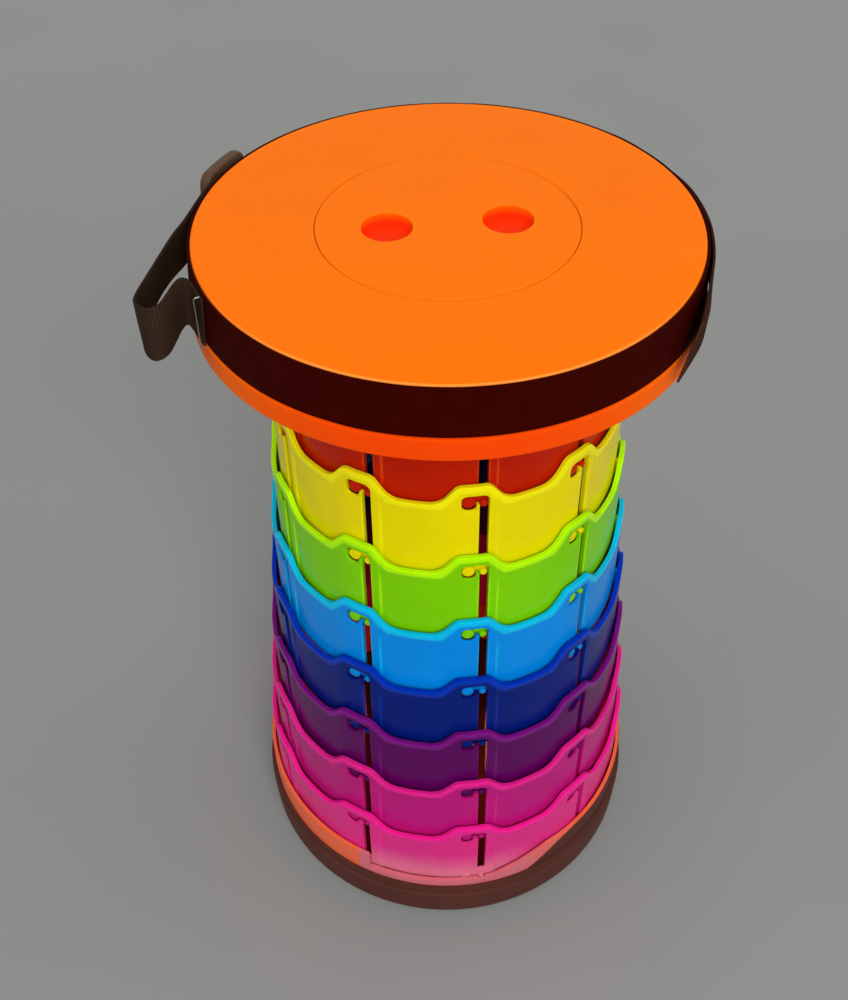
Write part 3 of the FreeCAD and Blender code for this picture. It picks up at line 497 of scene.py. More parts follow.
seatShape = {
    "radiusTop": 123.21 * milli,
    "radiusLow": 125.41 * milli,
    "top": 450.0 * milli,
    "grooveTop": 449.2 * milli,
    "grooveBottom": 424.0 * milli,
    "lipRadius": 127.31 * milli,
    "lipBottom": 411.4 * milli,
    "lipWall": 2.4 * milli,
    "rimWall": 1.5 * milli,
    "plate": 3.0 * milli,
    "opening": 64.4 * milli,
    "ledgeInside": 58.6 * milli,
    "ledgeThickness": 2.6 * milli,
    "ledgeWall": 2.4 * milli,
    "lipStep": 0.9 * milli,
    "ribs": 12,
    "ribTurn": 90,
    "ribOuter": 82.9 * milli,
    "ribDepth": 6.0 * milli,
    "ribWidth": 1.8 * milli,
    "ribRoot": 2.0 * milli,
    "bosses": 6,
    "bossTurn": 105,
    "bossCircle": 75.0 * milli,
    "bossRadius": 3.6 * milli,
    "bossDepth": 8.0 * milli,
    "bossRoot": 1.0 * milli,
    # Painted shade: the lip is drawn redder, a little all round and more in front.
    "lipDeep": (0.3, 0.45),  # how deep its colour is everywhere, and how much more in front
    "lipAhead": (0.6, 1.0),
    # Painted highlight: a paler line along the plate's rounded front edge, strongest in front.
    "edgeBright": 0.55,
    "edgeAhead": (0.4, 0.95),
    "edgeBand": 0.8 * milli,
    "steps": 192,
}


# Spins an outline of radius, height and corner rounding round an upright line, and adds it to the piece.
def spunShell(mesh, profile, steps):
    turned = bmesh.new()
    polygonFace(turned, profile)
    bmesh.ops.delete(turned, geom=turned.faces[:], context="FACES_ONLY")
    bmesh.ops.spin(turned, geom=turned.verts[:] + turned.edges[:], cent=(0, 0, 0), axis=axisUp, angle=math.tau,
                   steps=steps, use_merge=True)
    bmesh.ops.remove_doubles(turned, verts=turned.verts[:], dist=1e-6)
    bmesh.ops.recalc_face_normals(turned, faces=turned.faces[:])
    carrier = bpy.data.meshes.new("carrier")
    turned.to_mesh(carrier)
    turned.free()
    mesh.from_mesh(carrier)
    bpy.data.meshes.remove(carrier)


# Round seat: plate with the lid's opening and rounded edge, rim behind the strap, lip, and ribs and bosses below.
def seatPiece(material):
    shape = seatShape
    underside = shape["top"] - shape["plate"]
    mesh = bmesh.new()
    spunShell(mesh, [
        (shape["ledgeInside"], underside - shape["ledgeThickness"], 0.3 * milli),
        (shape["opening"] + shape["ledgeWall"], underside - shape["ledgeThickness"], 0.3 * milli),
        (shape["opening"] + shape["ledgeWall"], underside, 0),
        (shape["radiusTop"] - shape["rimWall"], underside, 0.6 * milli),
        (shape["radiusLow"] - shape["rimWall"], shape["grooveBottom"], 0),
        (shape["lipRadius"] - shape["lipWall"], shape["grooveBottom"] - shape["lipStep"], 0),
        (shape["lipRadius"] - shape["lipWall"], shape["lipBottom"], 0.5 * milli),
        (shape["lipRadius"], shape["lipBottom"], 0.9 * milli),
        (shape["lipRadius"], shape["grooveBottom"] - shape["lipStep"], 0.5 * milli),
        (shape["radiusLow"], shape["grooveBottom"], 0.2 * milli),
        (shape["radiusTop"], shape["grooveTop"] - 0.3 * milli, 0),
        (shape["radiusTop"], shape["top"], 1.0 * milli),
        (shape["opening"], shape["top"], 0.35 * milli),
        (shape["opening"], underside, 0),
        (shape["ledgeInside"], underside, 0.3 * milli),
    ], shape["steps"])
    ribInner = shape["opening"] + shape["ledgeWall"] / 2
    for number in range(shape["ribs"]):
        degrees = ringShape["slotAzimuth"] + shape["ribTurn"] + number * 360 / shape["ribs"]
        place = onCircle((ribInner + shape["ribOuter"]) / 2, degrees,
                         underside + (shape["ribRoot"] - shape["ribDepth"]) / 2)
        turn = Matrix.Rotation(math.radians(degrees - 90), 4, "Z")
        size = (shape["ribOuter"] - ribInner, shape["ribWidth"], shape["ribDepth"] + shape["ribRoot"], 1)
        bmesh.ops.create_cube(mesh, size=1.0, matrix=Matrix.Translation(place) @ turn @ Matrix.Diagonal(size))
    for number in range(shape["bosses"]):
        degrees = ringShape["slotAzimuth"] + shape["bossTurn"] + number * 360 / shape["bosses"]
        addRod(mesh, onCircle(shape["bossCircle"], degrees, underside + shape["bossRoot"]), -axisUp,
               shape["bossRadius"], 0, shape["bossDepth"] + shape["bossRoot"], 0.4 * milli)
    paintedShadeShare = mesh.verts.layers.float.new("paintedShadeShare")
    edgeHighlightShare = mesh.verts.layers.float.new("edgeHighlightShare")
    # Painted shade makes the lip redder, most in front; a painted highlight makes the plate's front edge paler.
    for vert in mesh.verts:
        across = vert.co.xy.length
        lip = vert.co.z < shape["grooveBottom"] + 0.1 * milli and across > shape["radiusLow"] - 0.1 * milli
        ahead = -vert.co.y / across
        least, more = shape["lipDeep"]
        vert[paintedShadeShare] = least + more * smoothStep(*shape["lipAhead"], ahead) if lip else 0.0
        rounded = across > shape["radiusTop"] - shape["edgeBand"] and vert.co.z > shape["top"] - shape["edgeBand"]
        vert[edgeHighlightShare] = shape["edgeBright"] * smoothStep(*shape["edgeAhead"], ahead) if rounded else 0.0
    weightNormals(finishPiece("seat", mesh, material, "seat", ["seat_top"]))


lidShape = {
    "radius": 64.0 * milli,
    "cupRadius": 12.5 * milli,
    "cupDepth": 5.5 * milli,
    "cupWall": 1.5 * milli,
    "cupOffset": 29.4 * milli,
    "cupTurn": 7.0,
    "hoopRadius": 58.2 * milli,
    "hoopWall": 1.6 * milli,
    "hoopDepth": 6.0 * milli,
    "hoopRoot": 0.5 * milli,
    "rounds": (0.35 * milli, 0.5 * milli, 0.7 * milli),  # its edge, the cups' edges, the cups' floors
    # Painted shade: over this depth the cups turn redder below their rim.
    "deep": (0.1 * milli, 3.5 * milli),  # how far down in a cup the colour turns red
    "steps": (160, 64, 128),  # of the disc, a cup and the hoop
}


# A circle of edges; gives back its vertices.
def circleVerts(mesh, radius, centre, segments):
    made = bmesh.ops.create_circle(mesh, cap_ends=False, segments=segments, radius=radius,
                                   matrix=Matrix.Translation(centre))
    return made["verts"]


# Extrudes a loop straight down and gives back the new loop's edges.
def lowered(mesh, edges, drop):
    made = bmesh.ops.extrude_edge_only(mesh, edges=edges)["geom"]
    bmesh.ops.translate(mesh, vec=(0, 0, -drop), verts=vertsIn(made))
    moved = set(vertsIn(made))
    return [e for e in made if isinstance(e, bmesh.types.BMEdge) and all(v in moved for v in e.verts)]


# Lift-out lid: flat disc with two finger cups and a centring hoop below.
def lidPiece(material):
    shape = lidShape
    top = seatShape["top"]
    discSteps, cupSteps, hoopSteps = shape["steps"]
    mesh = bmesh.new()
    outer = edgesAmong(circleVerts(mesh, shape["radius"], (0, 0, top), discSteps))
    turn = math.radians(shape["cupTurn"])
    underside = top - seatShape["plate"]
    centres = [(side * shape["cupOffset"] * math.cos(turn), side * shape["cupOffset"] * math.sin(turn), top)
               for side in (-1, 1)]
    cups = [edgesAmong(circleVerts(mesh, shape["cupRadius"], centre, cupSteps)) for centre in centres]
    bmesh.ops.triangle_fill(mesh, use_beauty=True, edges=mesh.edges[:])
    lowEdge = lowered(mesh, outer, seatShape["plate"])
    floors = [lowered(mesh, loop, shape["cupDepth"]) for loop in cups]
    cupOutside = shape["cupRadius"] + shape["cupWall"]
    outsides = [edgesAmong(circleVerts(mesh, cupOutside, (*centre[:2], underside), cupSteps)) for centre in centres]
    bmesh.ops.triangle_fill(mesh, use_beauty=True, edges=lowEdge + outsides[0] + outsides[1])
    bottoms = [lowered(mesh, loop, shape["cupDepth"] + shape["cupWall"] - seatShape["plate"]) for loop in outsides]
    for loop in floors + bottoms:
        bmesh.ops.contextual_create(mesh, geom=loop)
    bmesh.ops.recalc_face_normals(mesh, faces=mesh.faces[:])
    edgeRound, cupRound, floorRound = shape["rounds"]
    roundEdges(mesh, outer, edgeRound, 3)
    for loops, rounding in ((cups, cupRound), (floors + bottoms, floorRound)):
        roundEdges(mesh, [edge for loop in loops for edge in loop if edge.is_valid], rounding, 4)
    spunShell(mesh, [
        (shape["hoopRadius"] - shape["hoopWall"], underside + shape["hoopRoot"], 0),
        (shape["hoopRadius"] - shape["hoopWall"], underside - shape["hoopDepth"], 0.4 * milli),
        (shape["hoopRadius"], underside - shape["hoopDepth"], 0.4 * milli),
        (shape["hoopRadius"], underside + shape["hoopRoot"], 0),
    ], hoopSteps)
    # Painted shade: redder the deeper it lies in a cup.
    paintedShadeShare = mesh.verts.layers.float.new("paintedShadeShare")
    for vert in mesh.verts:
        reach = min((vert.co.xy - Vector(centre[:2])).length for centre in centres)
        inCup = reach < shape["cupRadius"] + 0.05 * milli
        vert[paintedShadeShare] = smoothStep(*shape["deep"], top - vert.co.z) ** 0.5 if inCup else 0.0
    weightNormals(finishPiece("lid", mesh, material, "lid", ["seat_lid"]))


# The accents paint shade (the redder lip and cups) and a highlight (the paler front edge).
seatAccents = [("paintedShadeShare", "#FA3206"), ("edgeHighlightShare", "#FFA650")]  # lip and cups, the plate's front edge
seatPlastic = mouldedPlastic("orangeSeatPolypropylene", seatLook, seatAccents)
seatPiece(seatPlastic)
lidPiece(seatPlastic)
print("seat and lid made")


# A CAD node keeps its shape and gets its finish.
def dressNode(name, material):
    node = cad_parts[name]
    if not node.material_slots:
        node.data.materials.append(material)
    for slot in node.material_slots:
        slot.material = material


tubePlastic = mouldedPlastic("orangeTubePolypropylene", {**seatLook, "colour": "#E84A0C"})
dressNode("seat_tube", tubePlastic)


# Webbing

webbingLook = {
    "warpPitch": 1.5 * milli,  # drawn coarser than the real 1.0 mm so that it shows
    "weftPitch": 1.7 * milli,
    # One webbing in three colour pairs: the band's red is a painted reflection of the orange seat, and the loop and
    # tail pairs carry the painted light of where each lies.
    "band": ("#300301", "#4A0B03"),
    "loop": ("#2E2019", "#4C3A2C"),
    "tail": ("#341A12", "#5A3826"),
    "fuzz": 2600.0,
    "fuzzShare": 0.35,
    "wear": 60.0,
    "bump": 0.55,
    "bumpDepth": 0.4 * milli,
    "roughness": 0.85,
    "specular": 0.12,
}


# Polypropylene webbing, plain weave: matt and ribbed across. It is brown-black; the red beside the orange seat is a
# painted reflection of the seat.
def wovenWebbing(name, dark, light):
    look = webbingLook
    material, tree, shader = newMaterial(name)
    uv = addNode(tree, "ShaderNodeUVMap", {"uv_map": "along"})
    parts = addNode(tree, "ShaderNodeSeparateXYZ", None, {"Vector": uv.outputs["UV"]})
    wave = []
    for axis, pitch in (("X", look["weftPitch"]), ("Y", look["warpPitch"])):
        phase = addNode(tree, "ShaderNodeMath", {"operation": "MULTIPLY", 1: math.pi / pitch},
                        {0: parts.outputs[axis]})
        wave.append(addNode(tree, "ShaderNodeMath", {"operation": "SINE"}, {0: phase.outputs[0]}))
    weave = addNode(tree, "ShaderNodeMath", {"operation": "MULTIPLY"}, {0: wave[0].outputs[0], 1: wave[1].outputs[0]})
    height = addNode(tree, "ShaderNodeMath", {"operation": "ABSOLUTE"}, {0: weave.outputs[0]})
    fuzz = addNode(tree, "ShaderNodeTexNoise", {"Scale": look["fuzz"], "Detail": 2.0}, {"Vector": uv.outputs["UV"]})
    worn = addNode(tree, "ShaderNodeTexNoise", {"Scale": look["wear"], "Detail": 3.0}, {"Vector": uv.outputs["UV"]})
    rough = addNode(tree, "ShaderNodeMath", {"operation": "MULTIPLY_ADD", 1: look["fuzzShare"]},
                    {0: fuzz.outputs["Fac"], 2: height.outputs[0]})
    lighter = addNode(tree, "ShaderNodeMath", {"operation": "MULTIPLY"},
                      {0: height.outputs[0], 1: worn.outputs["Fac"]})
    colour = addNode(tree, "ShaderNodeMix", {"data_type": "RGBA", 6: linearColour(dark), 7: linearColour(light)},
                     {0: lighter.outputs[0]})
    bump = addNode(tree, "ShaderNodeBump", {"Strength": look["bump"], "Distance": look["bumpDepth"]},
                   {"Height": rough.outputs[0]})
    shader.inputs["Roughness"].default_value = look["roughness"]
    shader.inputs["Specular IOR Level"].default_value = look["specular"]
    shader.inputs["Specular Tint"].default_value = linearColour(light)
    tree.links.new(colour.outputs[2], shader.inputs["Base Color"])
    tree.links.new(bump.outputs["Normal"], shader.inputs["Normal"])
    return material


strapShape = {
    "width": 25.3 * milli,
    "thickness": 1.4 * milli,
    "top": 449.6 * milli,
    "restRadius": 125.61 * milli,  # middle of a layer that lies on the band
    "bandRadius": 124.06 * milli,
    "restLean": 2.21,
    "ripple": 0.15 * milli,
    "rippleScale": 60,
    "rows": 10,
    "drawnShare": 0.85,  # a little thinner than its thickness, so that layers stay apart
    "edgeRound": 0.35 * milli,
}

# Each station: azimuth, stand-off, rise, lean outwards of the lower edge, and its lead in azimuth.
restingLean = strapShape["restLean"]
loopStations = [
    (-113, 0.1, 0.0, restingLean, 0), (-104, 0.1, 0.0, restingLean, 0), (-97, 0.6, 0.0, 2.6, 0),
    (-91, 2.3, 0.0, 3.2, 0), (-86.6, 5.2, 0.0, 4.0, 0), (-82.6, 8.1, 0.0, 4.6, 0), (-78.7, 11.3, 0.0, 4.8, 0),
    (-74.7, 15.5, 0.0, 4.4, 0), (-70.9, 20.4, 0.0, 3.4, 0.4), (-67.2, 25.8, 0.3, 1.4, 1.6),
    (-64.8, 28.0, 1.0, 0.2, 2.6), (-62.2, 27.2, 2.2, 0.0, 2.6), (-60.6, 24.4, 3.0, 0.0, 1.8),
    (-60.6, 19.6, 3.6, 0.0, 1.0), (-61.9, 14.6, 5.2, 0.0, 0.4), (-63.6, 9.8, 6.6, 0.4, 0),
    (-64.9, 5.8, 6.6, 1.2, 0), (-65.1, 3.0, 5.0, 2.0, 0), (-64.1, 1.5, 2.8, restingLean, 0),
    (-62.6, 0.8, 0.9, restingLean, 0), (-60.8, 0.3, 0.0, restingLean, 0), (-60.1, 0.25, 0.0, restingLean, 0),
]

tailStations = [(azimuth, 0.05, -1.0, restingLean, 0) for azimuth in range(237, 117, -12)]
tailStations += [
    (109, 0.1, -0.8, restingLean, 0), (99, 0.2, -0.5, restingLean, 0), (89, 0.4, -0.3, restingLean, 0),
    (79, 0.8, -0.6, 2.0, 0), (70, 2.0, -1.1, 1.4, 0), (63, 4.6, -2.4, 0.4, -1.0), (57.5, 8.2, -4.8, -1.2, -6.5),
]


# Evenly spaced points on a smooth curve through the stations: cubics whose slopes follow the chords.
def splineThrough(points, count):
    lengths = [0.0]
    for here, there in zip(points, points[1:]):
        lengths.append(lengths[-1] + (there - here).length)
    slopes = []
    for index in range(len(points)):
        low, high = max(0, index - 1), min(len(points) - 1, index + 1)
        slopes.append((points[high] - points[low]) / (lengths[high] - lengths[low]))
    found = []
    span = 0
    for step in range(count):
        reach = lengths[-1] * step / (count - 1)
        while span < len(points) - 2 and lengths[span + 1] < reach:
            span += 1
        size = lengths[span + 1] - lengths[span]
        t = (reach - lengths[span]) / size
        found.append(points[span] * (2 * t ** 3 - 3 * t ** 2 + 1) + slopes[span] * size * (t ** 3 - 2 * t ** 2 + t)
                     + points[span + 1] * (3 * t ** 2 - 2 * t ** 3) + slopes[span + 1] * size * (t ** 3 - t ** 2))
    return found, lengths[-1]


# Webbing on edge along its stations: a grid laid on the path, thickened and rounded.
def webbingPiece(name, stations, material, node, steps, restRadius):
    shape = strapShape
    tops, lows = [], []
    for azimuth, standOff, rise, lean, lead in stations:
        reach = restRadius + standOff * milli
        height = shape["top"] + rise * milli
        drop = math.sqrt(shape["width"] ** 2 - (lean * milli) ** 2)
        tops.append(onCircle(reach, azimuth, height))
        lows.append(onCircle(reach + lean * milli, azimuth + lead, height - drop))
    upper, length = splineThrough(tops, steps + 1)
    lower = splineThrough(lows, steps + 1)[0]
    mesh = bmesh.new()
    uvLayer = mesh.loops.layers.uv.new("along")
    bmesh.ops.create_grid(mesh, x_segments=steps, y_segments=shape["rows"], size=0.5, calc_uvs=True)
    for face in mesh.faces:
        for loop in face.loops:
            share = loop.vert.co.x + 0.5
            loop[uvLayer].uv = (share * length, (loop.vert.co.y + 0.5) * shape["width"])
    for vert in mesh.verts:
        index = round((vert.co.x + 0.5) * steps)
        here = upper[index].lerp(lower[index], vert.co.y + 0.5)
        previous, following = upper[max(0, index - 1)], upper[min(steps, index + 1)]
        outwards = (following - previous).cross(lower[index] - upper[index]).normalized()
        vert.co = here + outwards * shape["ripple"] * noise.noise(here * shape["rippleScale"])
    bmesh.ops.recalc_face_normals(mesh, faces=mesh.faces[:])
    piece = finishPiece(name, mesh, material, "seat", [node], smoothAngle=180)
    thicken = piece.modifiers.new("thicken", "SOLIDIFY")
    thicken.thickness = shape["thickness"] * shape["drawnShare"]
    thicken.offset = 0
    thicken.use_even_offset = False
    soften = piece.modifiers.new("soften", "BEVEL")
    soften.width = shape["edgeRound"]
    soften.segments = 2
    soften.limit_method = "ANGLE"
    weightNormals(piece)


bandStations = [(azimuth, 0.0, 0.0, restingLean, 0) for azimuth in range(-180, 181, 10)]
webbingPiece("strapBand", bandStations, wovenWebbing("redBrownWebbingPaintedReflection", *webbingLook["band"]), "strap_band", 240,
             strapShape["bandRadius"])
webbingPiece("carryLoop", loopStations, wovenWebbing("oliveBrownWebbing", *webbingLook["loop"]), "strap_loop", 190,
             strapShape["restRadius"])
tailWebbing = wovenWebbing("brownWebbing", *webbingLook["tail"])
webbingPiece("strapTail", tailStations, tailWebbing, "strap_tail", 160, strapShape["restRadius"])
print("webbing made")


# Buckle and wire

buckleShape = {
    "azimuth": -115.3,
    "length": 34 * milli,
    "height": 34.5 * milli,
    "thickness": 5.4 * milli,
    "top": 452.0 * milli,
    "topRadius": 126.76 * milli,  # its inner face at the top, and at the foot
    "lowRadius": 129.64 * milli,
    "corner": 6 * milli,
    "windowNear": 2.25 * milli,
    "windowFar": 12.5 * milli,
    "windowLow": 4.5 * milli,
    "windowHigh": 25 * milli,
    "windowCorner": 1.5 * milli,
    "edgeRound": 1.3 * milli,
    "bendStep": 3 * milli,
}


# Slider: a leaning plate, bent round the seat, with a middle bar and two windows for the webbing.
def bucklePiece(material):
    shape = buckleShape
    half = shape["length"] / 2
    mesh = bmesh.new()
    polygonFace(mesh, [(-half, 0, shape["corner"]), (half, 0, shape["corner"]),
                       (half, shape["height"], shape["corner"]), (-half, shape["height"], shape["corner"])])
    for side in (-1, 1):
        near, far = sorted((side * shape["windowNear"], side * shape["windowFar"]))
        polygonFace(mesh, [(near, shape["windowLow"], shape["windowCorner"]),
                           (far, shape["windowLow"], shape["windowCorner"]),
                           (far, shape["windowHigh"], shape["windowCorner"]),
                           (near, shape["windowHigh"], shape["windowCorner"])])
    fillBetween(mesh)
    pushOut(mesh, mesh.faces[:], (0, shape["thickness"], 0), keep=True)
    bmesh.ops.recalc_face_normals(mesh, faces=mesh.faces[:])
    rounded = [edge for edge in mesh.edges if len(edge.link_faces) == 2
               and edge.calc_face_angle(0) > sharpAngle and abs(edge.verts[0].co.y - edge.verts[1].co.y) < tiny]
    roundEdges(mesh, rounded, shape["edgeRound"], 4, clamp=True)
    cuts = int(half / shape["bendStep"])
    for number in range(-cuts, cuts + 1):
        cutAcross(mesh, (number * shape["bendStep"], 0, 0), (1, 0, 0))
    for vert in mesh.verts:
        across, depth, up = vert.co
        share = 1 - up / shape["height"]
        reach = shape["topRadius"] + (shape["lowRadius"] - shape["topRadius"]) * share + depth
        degrees = shape["azimuth"] + math.degrees(across / shape["topRadius"])
        vert.co = onCircle(reach, degrees, shape["top"] - shape["height"] + up)
    bmesh.ops.recalc_face_normals(mesh, faces=mesh.faces[:])
    weightNormals(finishPiece("strapBuckle", mesh, material, "seat", ["strap_buckle"]))


bucklePlastic = mouldedPlastic("greyBrownAcetal", {**seatLook, "colour": "#56422F", "grain": 0.4 * milli, "bump": 0.08,
                                                   "mottle": 0.06, "subsurface": 0.0, "specular": 0.4})
bucklePiece(bucklePlastic)


keeperShape = {
    "azimuth": -60.5,
    "wire": 0.4 * milli,  # radius
    "front": 129.7 * milli,
    "topHook": (126.9 * milli, 450.6 * milli),
    "lowHook": (127.7 * milli, 423.5 * milli),
    "bend": 0.9 * milli,
    "bendSteps": 6,
    "sides": 12,
}


# Bent wire that holds the loop: a circle drawn along the hook, the upright and the other hook.
def keeperPiece(material):
    shape = keeperShape
    outwards = onCircle(1, shape["azimuth"], 0)
    (topReach, top), (lowReach, low) = shape["topHook"], shape["lowHook"]
    path = [Vector((topReach, top))]
    for across, up, first in ((shape["front"], top, 90), (shape["front"], low, 0)):
        centre = Vector((across - shape["bend"], up - shape["bend"] if first else up + shape["bend"]))
        for step in range(shape["bendSteps"] + 1):
            turn = math.radians(first - step * 90 / shape["bendSteps"])
            path.append(centre + shape["bend"] * Vector((math.cos(turn), math.sin(turn))))
    path.append(Vector((lowReach, low)))
    mesh = bmesh.new()
    sideways = outwards.cross(axisUp)
    made = bmesh.ops.create_circle(mesh, cap_ends=True, segments=shape["sides"], radius=shape["wire"],
                                   matrix=Matrix((sideways, axisUp, outwards)).transposed().to_4x4())
    ring = made["verts"]
    bmesh.ops.translate(mesh, vec=outwards * path[0].x + axisUp * path[0].y, verts=ring)
    heading = 0.0
    for here, there in zip(path, path[1:]):
        step = there - here
        aim = math.atan2(step.y, step.x)
        ring = vertsIn(bmesh.ops.extrude_edge_only(mesh, edges=edgesAmong(ring))["geom"])
        middle = outwards * here.x + axisUp * here.y
        bmesh.ops.rotate(mesh, cent=middle, matrix=Matrix.Rotation(heading - aim, 3, sideways), verts=ring)
        bmesh.ops.translate(mesh, vec=outwards * step.x + axisUp * step.y, verts=ring)
        heading = aim
    bmesh.ops.contextual_create(mesh, geom=edgesAmong(ring))
    bmesh.ops.recalc_face_normals(mesh, faces=mesh.faces[:])
    finishPiece("loopWire", mesh, material, "seat", ["strap_keeper"])


steelLook = {
    "marks": 900.0,  # about a millimetre apart
    "spread": (-0.06, 0.1),
}


# Steel wire and zinc-plated screws: bright metal with fine drawing marks.
def brightSteel(name, colour, roughness):
    material, tree, shader = newMaterial(name)
    place = addNode(tree, "ShaderNodeTexCoord")
    marks = addNode(tree, "ShaderNodeTexNoise", {"Scale": steelLook["marks"], "Detail": 2.0},
                    {"Vector": place.outputs["Object"]})
    bright, dull = steelLook["spread"]
    rough = addNode(tree, "ShaderNodeMapRange", {"To Min": roughness + bright, "To Max": roughness + dull},
                    {"Value": marks.outputs["Fac"]})
    shader.inputs["Base Color"].default_value = linearColour(colour)
    shader.inputs["Metallic"].default_value = 1.0
    tree.links.new(rough.outputs["Result"], shader.inputs["Roughness"])
    return material


keeperSteel = brightSteel("brightWire", "#B4AEA6", 0.34)
screwSteel = brightSteel("zincPlate", "#B4B6BA", 0.35)
keeperPiece(keeperSteel)
dressNode("seat_screws", screwSteel)
dressNode("base_screws", screwSteel)


# Base

# The coral ring's front is painted paler, salmon, as a highlight: where that begins and where it counts in full, along
# X and Y.
frontHighlightStretch = [("X", -0.0560, -0.0555), ("X", 0.088, 0.05), ("Y", -0.04, -0.06)]
coralPlastic = mouldedPlastic("coralPolypropylene", {**ringLook, "colour": "#F66C46", "roughness": 0.34},
                              [(frontHighlightStretch, "#D8707C")])
footPlastic = mouldedPlastic("darkBrownPolypropylene", {**seatLook, "colour": "#573029", "roughness": 0.45,
                                                        "bump": 0.12, "mottle": 0.08, "subsurface": 0.0})
padRubber = mouldedPlastic("blackRubber", {**seatLook, "colour": "#141312", "roughness": 0.8, "bump": 0.25,
                                           "subsurface": 0.0})
dressNode("base_ring", coralPlastic)
dressNode("base_foot", footPlastic)
dressNode("foot_pads", padRubber)

# The brown sleeve that covers the coral ring's right and back: a thin strip with ramps at its ends.
collarShape = {
    "azimuths": (26.0, 40.0, 190.0, 204.0),  # foot and top of each ramp
    "low": 30.4 * milli,
    "high": 49.6 * milli,
    "inside": 122.92 * milli,
    "thickness": 0.25 * milli,
    "corner": 12 * milli,
    "column": 2,
}


def collarPiece(material):
    shape = collarShape
    arc = shape["inside"] * math.radians(1)
    first, second, third, last = [degrees * arc for degrees in shape["azimuths"]]
    mesh = bmesh.new()
    polygonFace(mesh, [(first, shape["low"], 0), (last, shape["low"], 0), (third, shape["high"], shape["corner"]),
                       (second, shape["high"], shape["corner"])])
    pushOut(mesh, mesh.faces[:], (0, shape["thickness"], 0), keep=True)
    for degrees in range(int(shape["azimuths"][0]), int(shape["azimuths"][3]), shape["column"]):
        cutAcross(mesh, (degrees * arc, 0, 0), (1, 0, 0))
    for vert in mesh.verts:
        vert.co = onCircle(shape["inside"] + vert.co.y, vert.co.x / arc, vert.co.z)
    bmesh.ops.recalc_face_normals(mesh, faces=mesh.faces[:])
    finishPiece("footSleeve", mesh, material, "base")


collarPiece(footPlastic)
print("finishes set")


# Floor, light and camera

studio = {
    "floorSize": 12.0,
    "floorColour": "#8F908E",
    "floorFar": 1.42,  # how much paler the floor's paint is, this many metres behind:
    "floorDepth": 2.0,
    "floorPatches": 3.0,
    "floorUneven": 0.03,
    "worldColour": "#FFFFFF",
    "worldStrength": 0.62,
    "keyPlace": (0.4, -1.85, 1.75),
    "keySize": 1.3,
    "keyPower": 33.0,
    "topPlace": (0.3, 0.2, 3.2),
    "topSize": 2.0,
    "topPower": 7.0,
    "glowPlace": (0, -0.03, 0.05),  # daylight that seeps through the thin walls into the stool
    "glowSize": 0.02,
    "glowPower": 0.075,
    "glowColour": "#FF7A48",
}


# Plain matt floor with the faint unevenness of painted board.
def floorFinish():
    material, tree, shader = newMaterial("paleFloor")
    place = addNode(tree, "ShaderNodeTexCoord")
    uneven = addNode(tree, "ShaderNodeTexNoise", {"Scale": studio["floorPatches"], "Detail": 5.0},
                     {"Vector": place.outputs["Object"]})
    shade = addNode(tree, "ShaderNodeMapRange", {"From Min": 0.3, "From Max": 0.7, "To Min": 1 - studio["floorUneven"],
                                                 "To Max": 1 + studio["floorUneven"]},
                    {"Value": uneven.outputs["Fac"]})
    parts = addNode(tree, "ShaderNodeSeparateXYZ", None, {"Vector": place.outputs["Object"]})
    away = addNode(tree, "ShaderNodeMapRange", {"From Max": studio["floorDepth"], "To Min": 1.0,
                                                "To Max": studio["floorFar"]}, {"Value": parts.outputs["Y"]})
    strength = addNode(tree, "ShaderNodeMath", {"operation": "MULTIPLY"},
                       {0: shade.outputs["Result"], 1: away.outputs["Result"]})
    tinted = addNode(tree, "ShaderNodeVectorMath", {"operation": "SCALE", 0: linearColour(studio["floorColour"])[:3]},
                     {"Scale": strength.outputs[0]})
    shader.inputs["Roughness"].default_value = 0.8
    shader.inputs["Specular IOR Level"].default_value = 0.1
    tree.links.new(tinted.outputs["Vector"], shader.inputs["Base Color"])
    return material


def makeFloor():
    mesh = bmesh.new()
    bmesh.ops.create_grid(mesh, x_segments=8, y_segments=8, size=studio["floorSize"] / 2)
    data = bpy.data.meshes.new("floor")
    mesh.to_mesh(data)
    mesh.free()
    floor = bpy.data.objects.new("floor", data)
    bpy.context.scene.collection.objects.link(floor)
    data.materials.append(floorFinish())


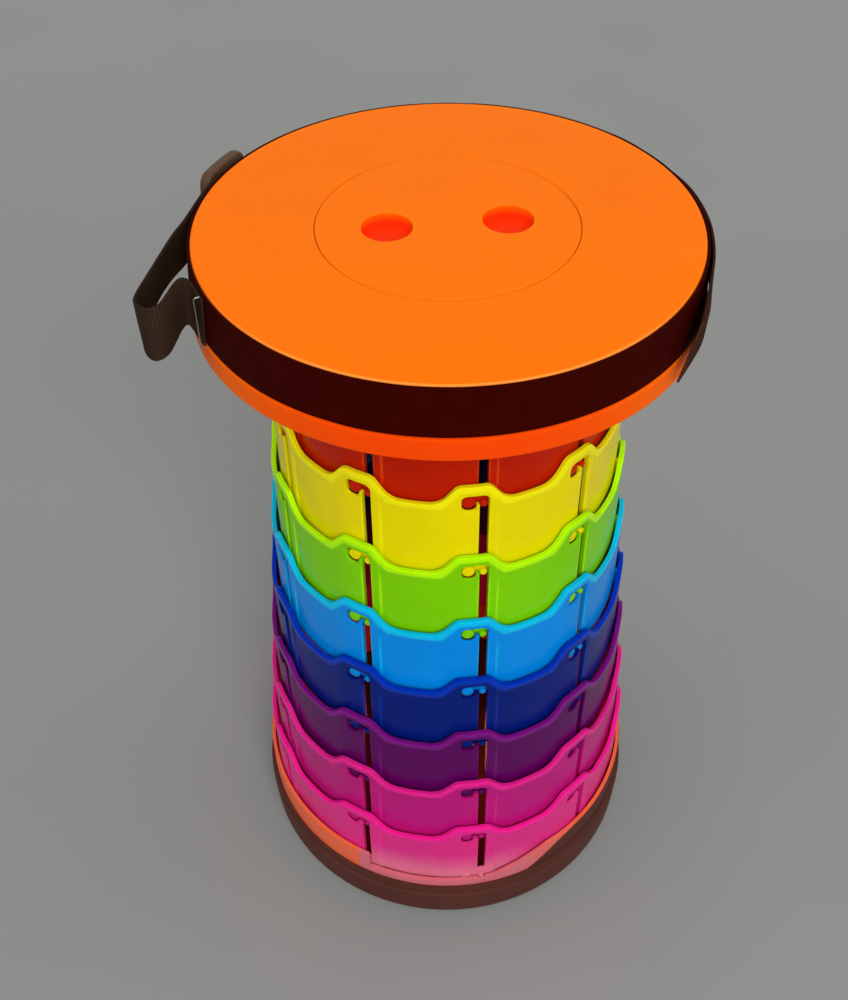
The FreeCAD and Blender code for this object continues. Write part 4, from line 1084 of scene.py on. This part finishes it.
def areaLight(name, place, aim, size, power):
    lamp = bpy.data.lights.new(name, "AREA")
    lamp.shape = "DISK"
    lamp.size = size
    lamp.energy = power
    holder = bpy.data.objects.new(name, lamp)
    holder.location = place
    holder.rotation_euler = (Vector(aim) - Vector(place)).to_track_quat("-Z", "Y").to_euler()
    bpy.context.scene.collection.objects.link(holder)


def makeLight():
    world = bpy.data.worlds.new("studio")
    world.use_nodes = True
    background = world.node_tree.nodes["Background"]
    background.inputs["Color"].default_value = linearColour(studio["worldColour"])
    background.inputs["Strength"].default_value = studio["worldStrength"]
    bpy.context.scene.world = world
    for lamp in ("key", "top"):
        areaLight(lamp + "Light", studio[lamp + "Place"], (0, 0, 0.25), studio[lamp + "Size"], studio[lamp + "Power"])
    glow = bpy.data.lights.new("glow", "POINT")
    glow.energy = studio["glowPower"]
    glow.color = linearColour(studio["glowColour"])[:3]
    glow.shadow_soft_size = studio["glowSize"]
    holder = bpy.data.objects.new("glow", glow)
    holder.location = studio["glowPlace"]
    bpy.context.scene.collection.objects.link(holder)


cameraFit = {
    "place": (0, -0.50575, 0.76175),
    "pitch": 0.7784,
    "yaw": -0.026,
    "roll": -0.0132,
    "focalPixels": 1204.7,
    "longSidePixels": 1000,
    "sensor": 36.0,
}


# The camera that was fitted to the photograph: position, pitch, yaw, roll and focal length.
def makeCamera():
    fit = cameraFit
    forward = Vector((math.sin(fit["yaw"]) * math.cos(fit["pitch"]), math.cos(fit["yaw"]) * math.cos(fit["pitch"]),
                      -math.sin(fit["pitch"])))
    level = Vector((math.cos(fit["yaw"]), -math.sin(fit["yaw"]), 0))
    upright = level.cross(forward)
    right = level * math.cos(fit["roll"]) + upright * math.sin(fit["roll"])
    up = upright * math.cos(fit["roll"]) - level * math.sin(fit["roll"])
    lens = bpy.data.cameras.new("camera")
    lens.sensor_width = fit["sensor"]
    lens.lens = fit["focalPixels"] / fit["longSidePixels"] * fit["sensor"]
    lens.clip_start = 0.01
    camera = bpy.data.objects.new("camera", lens)
    rotation = Matrix((right, up, -forward)).transposed().to_4x4()
    camera.matrix_world = Matrix.Translation(fit["place"]) @ rotation
    bpy.context.scene.collection.objects.link(camera)
    bpy.context.scene.camera = camera


makeFloor()
makeLight()
makeCamera()
bpy.context.scene.view_settings.view_transform = "Standard"
print("stage set")
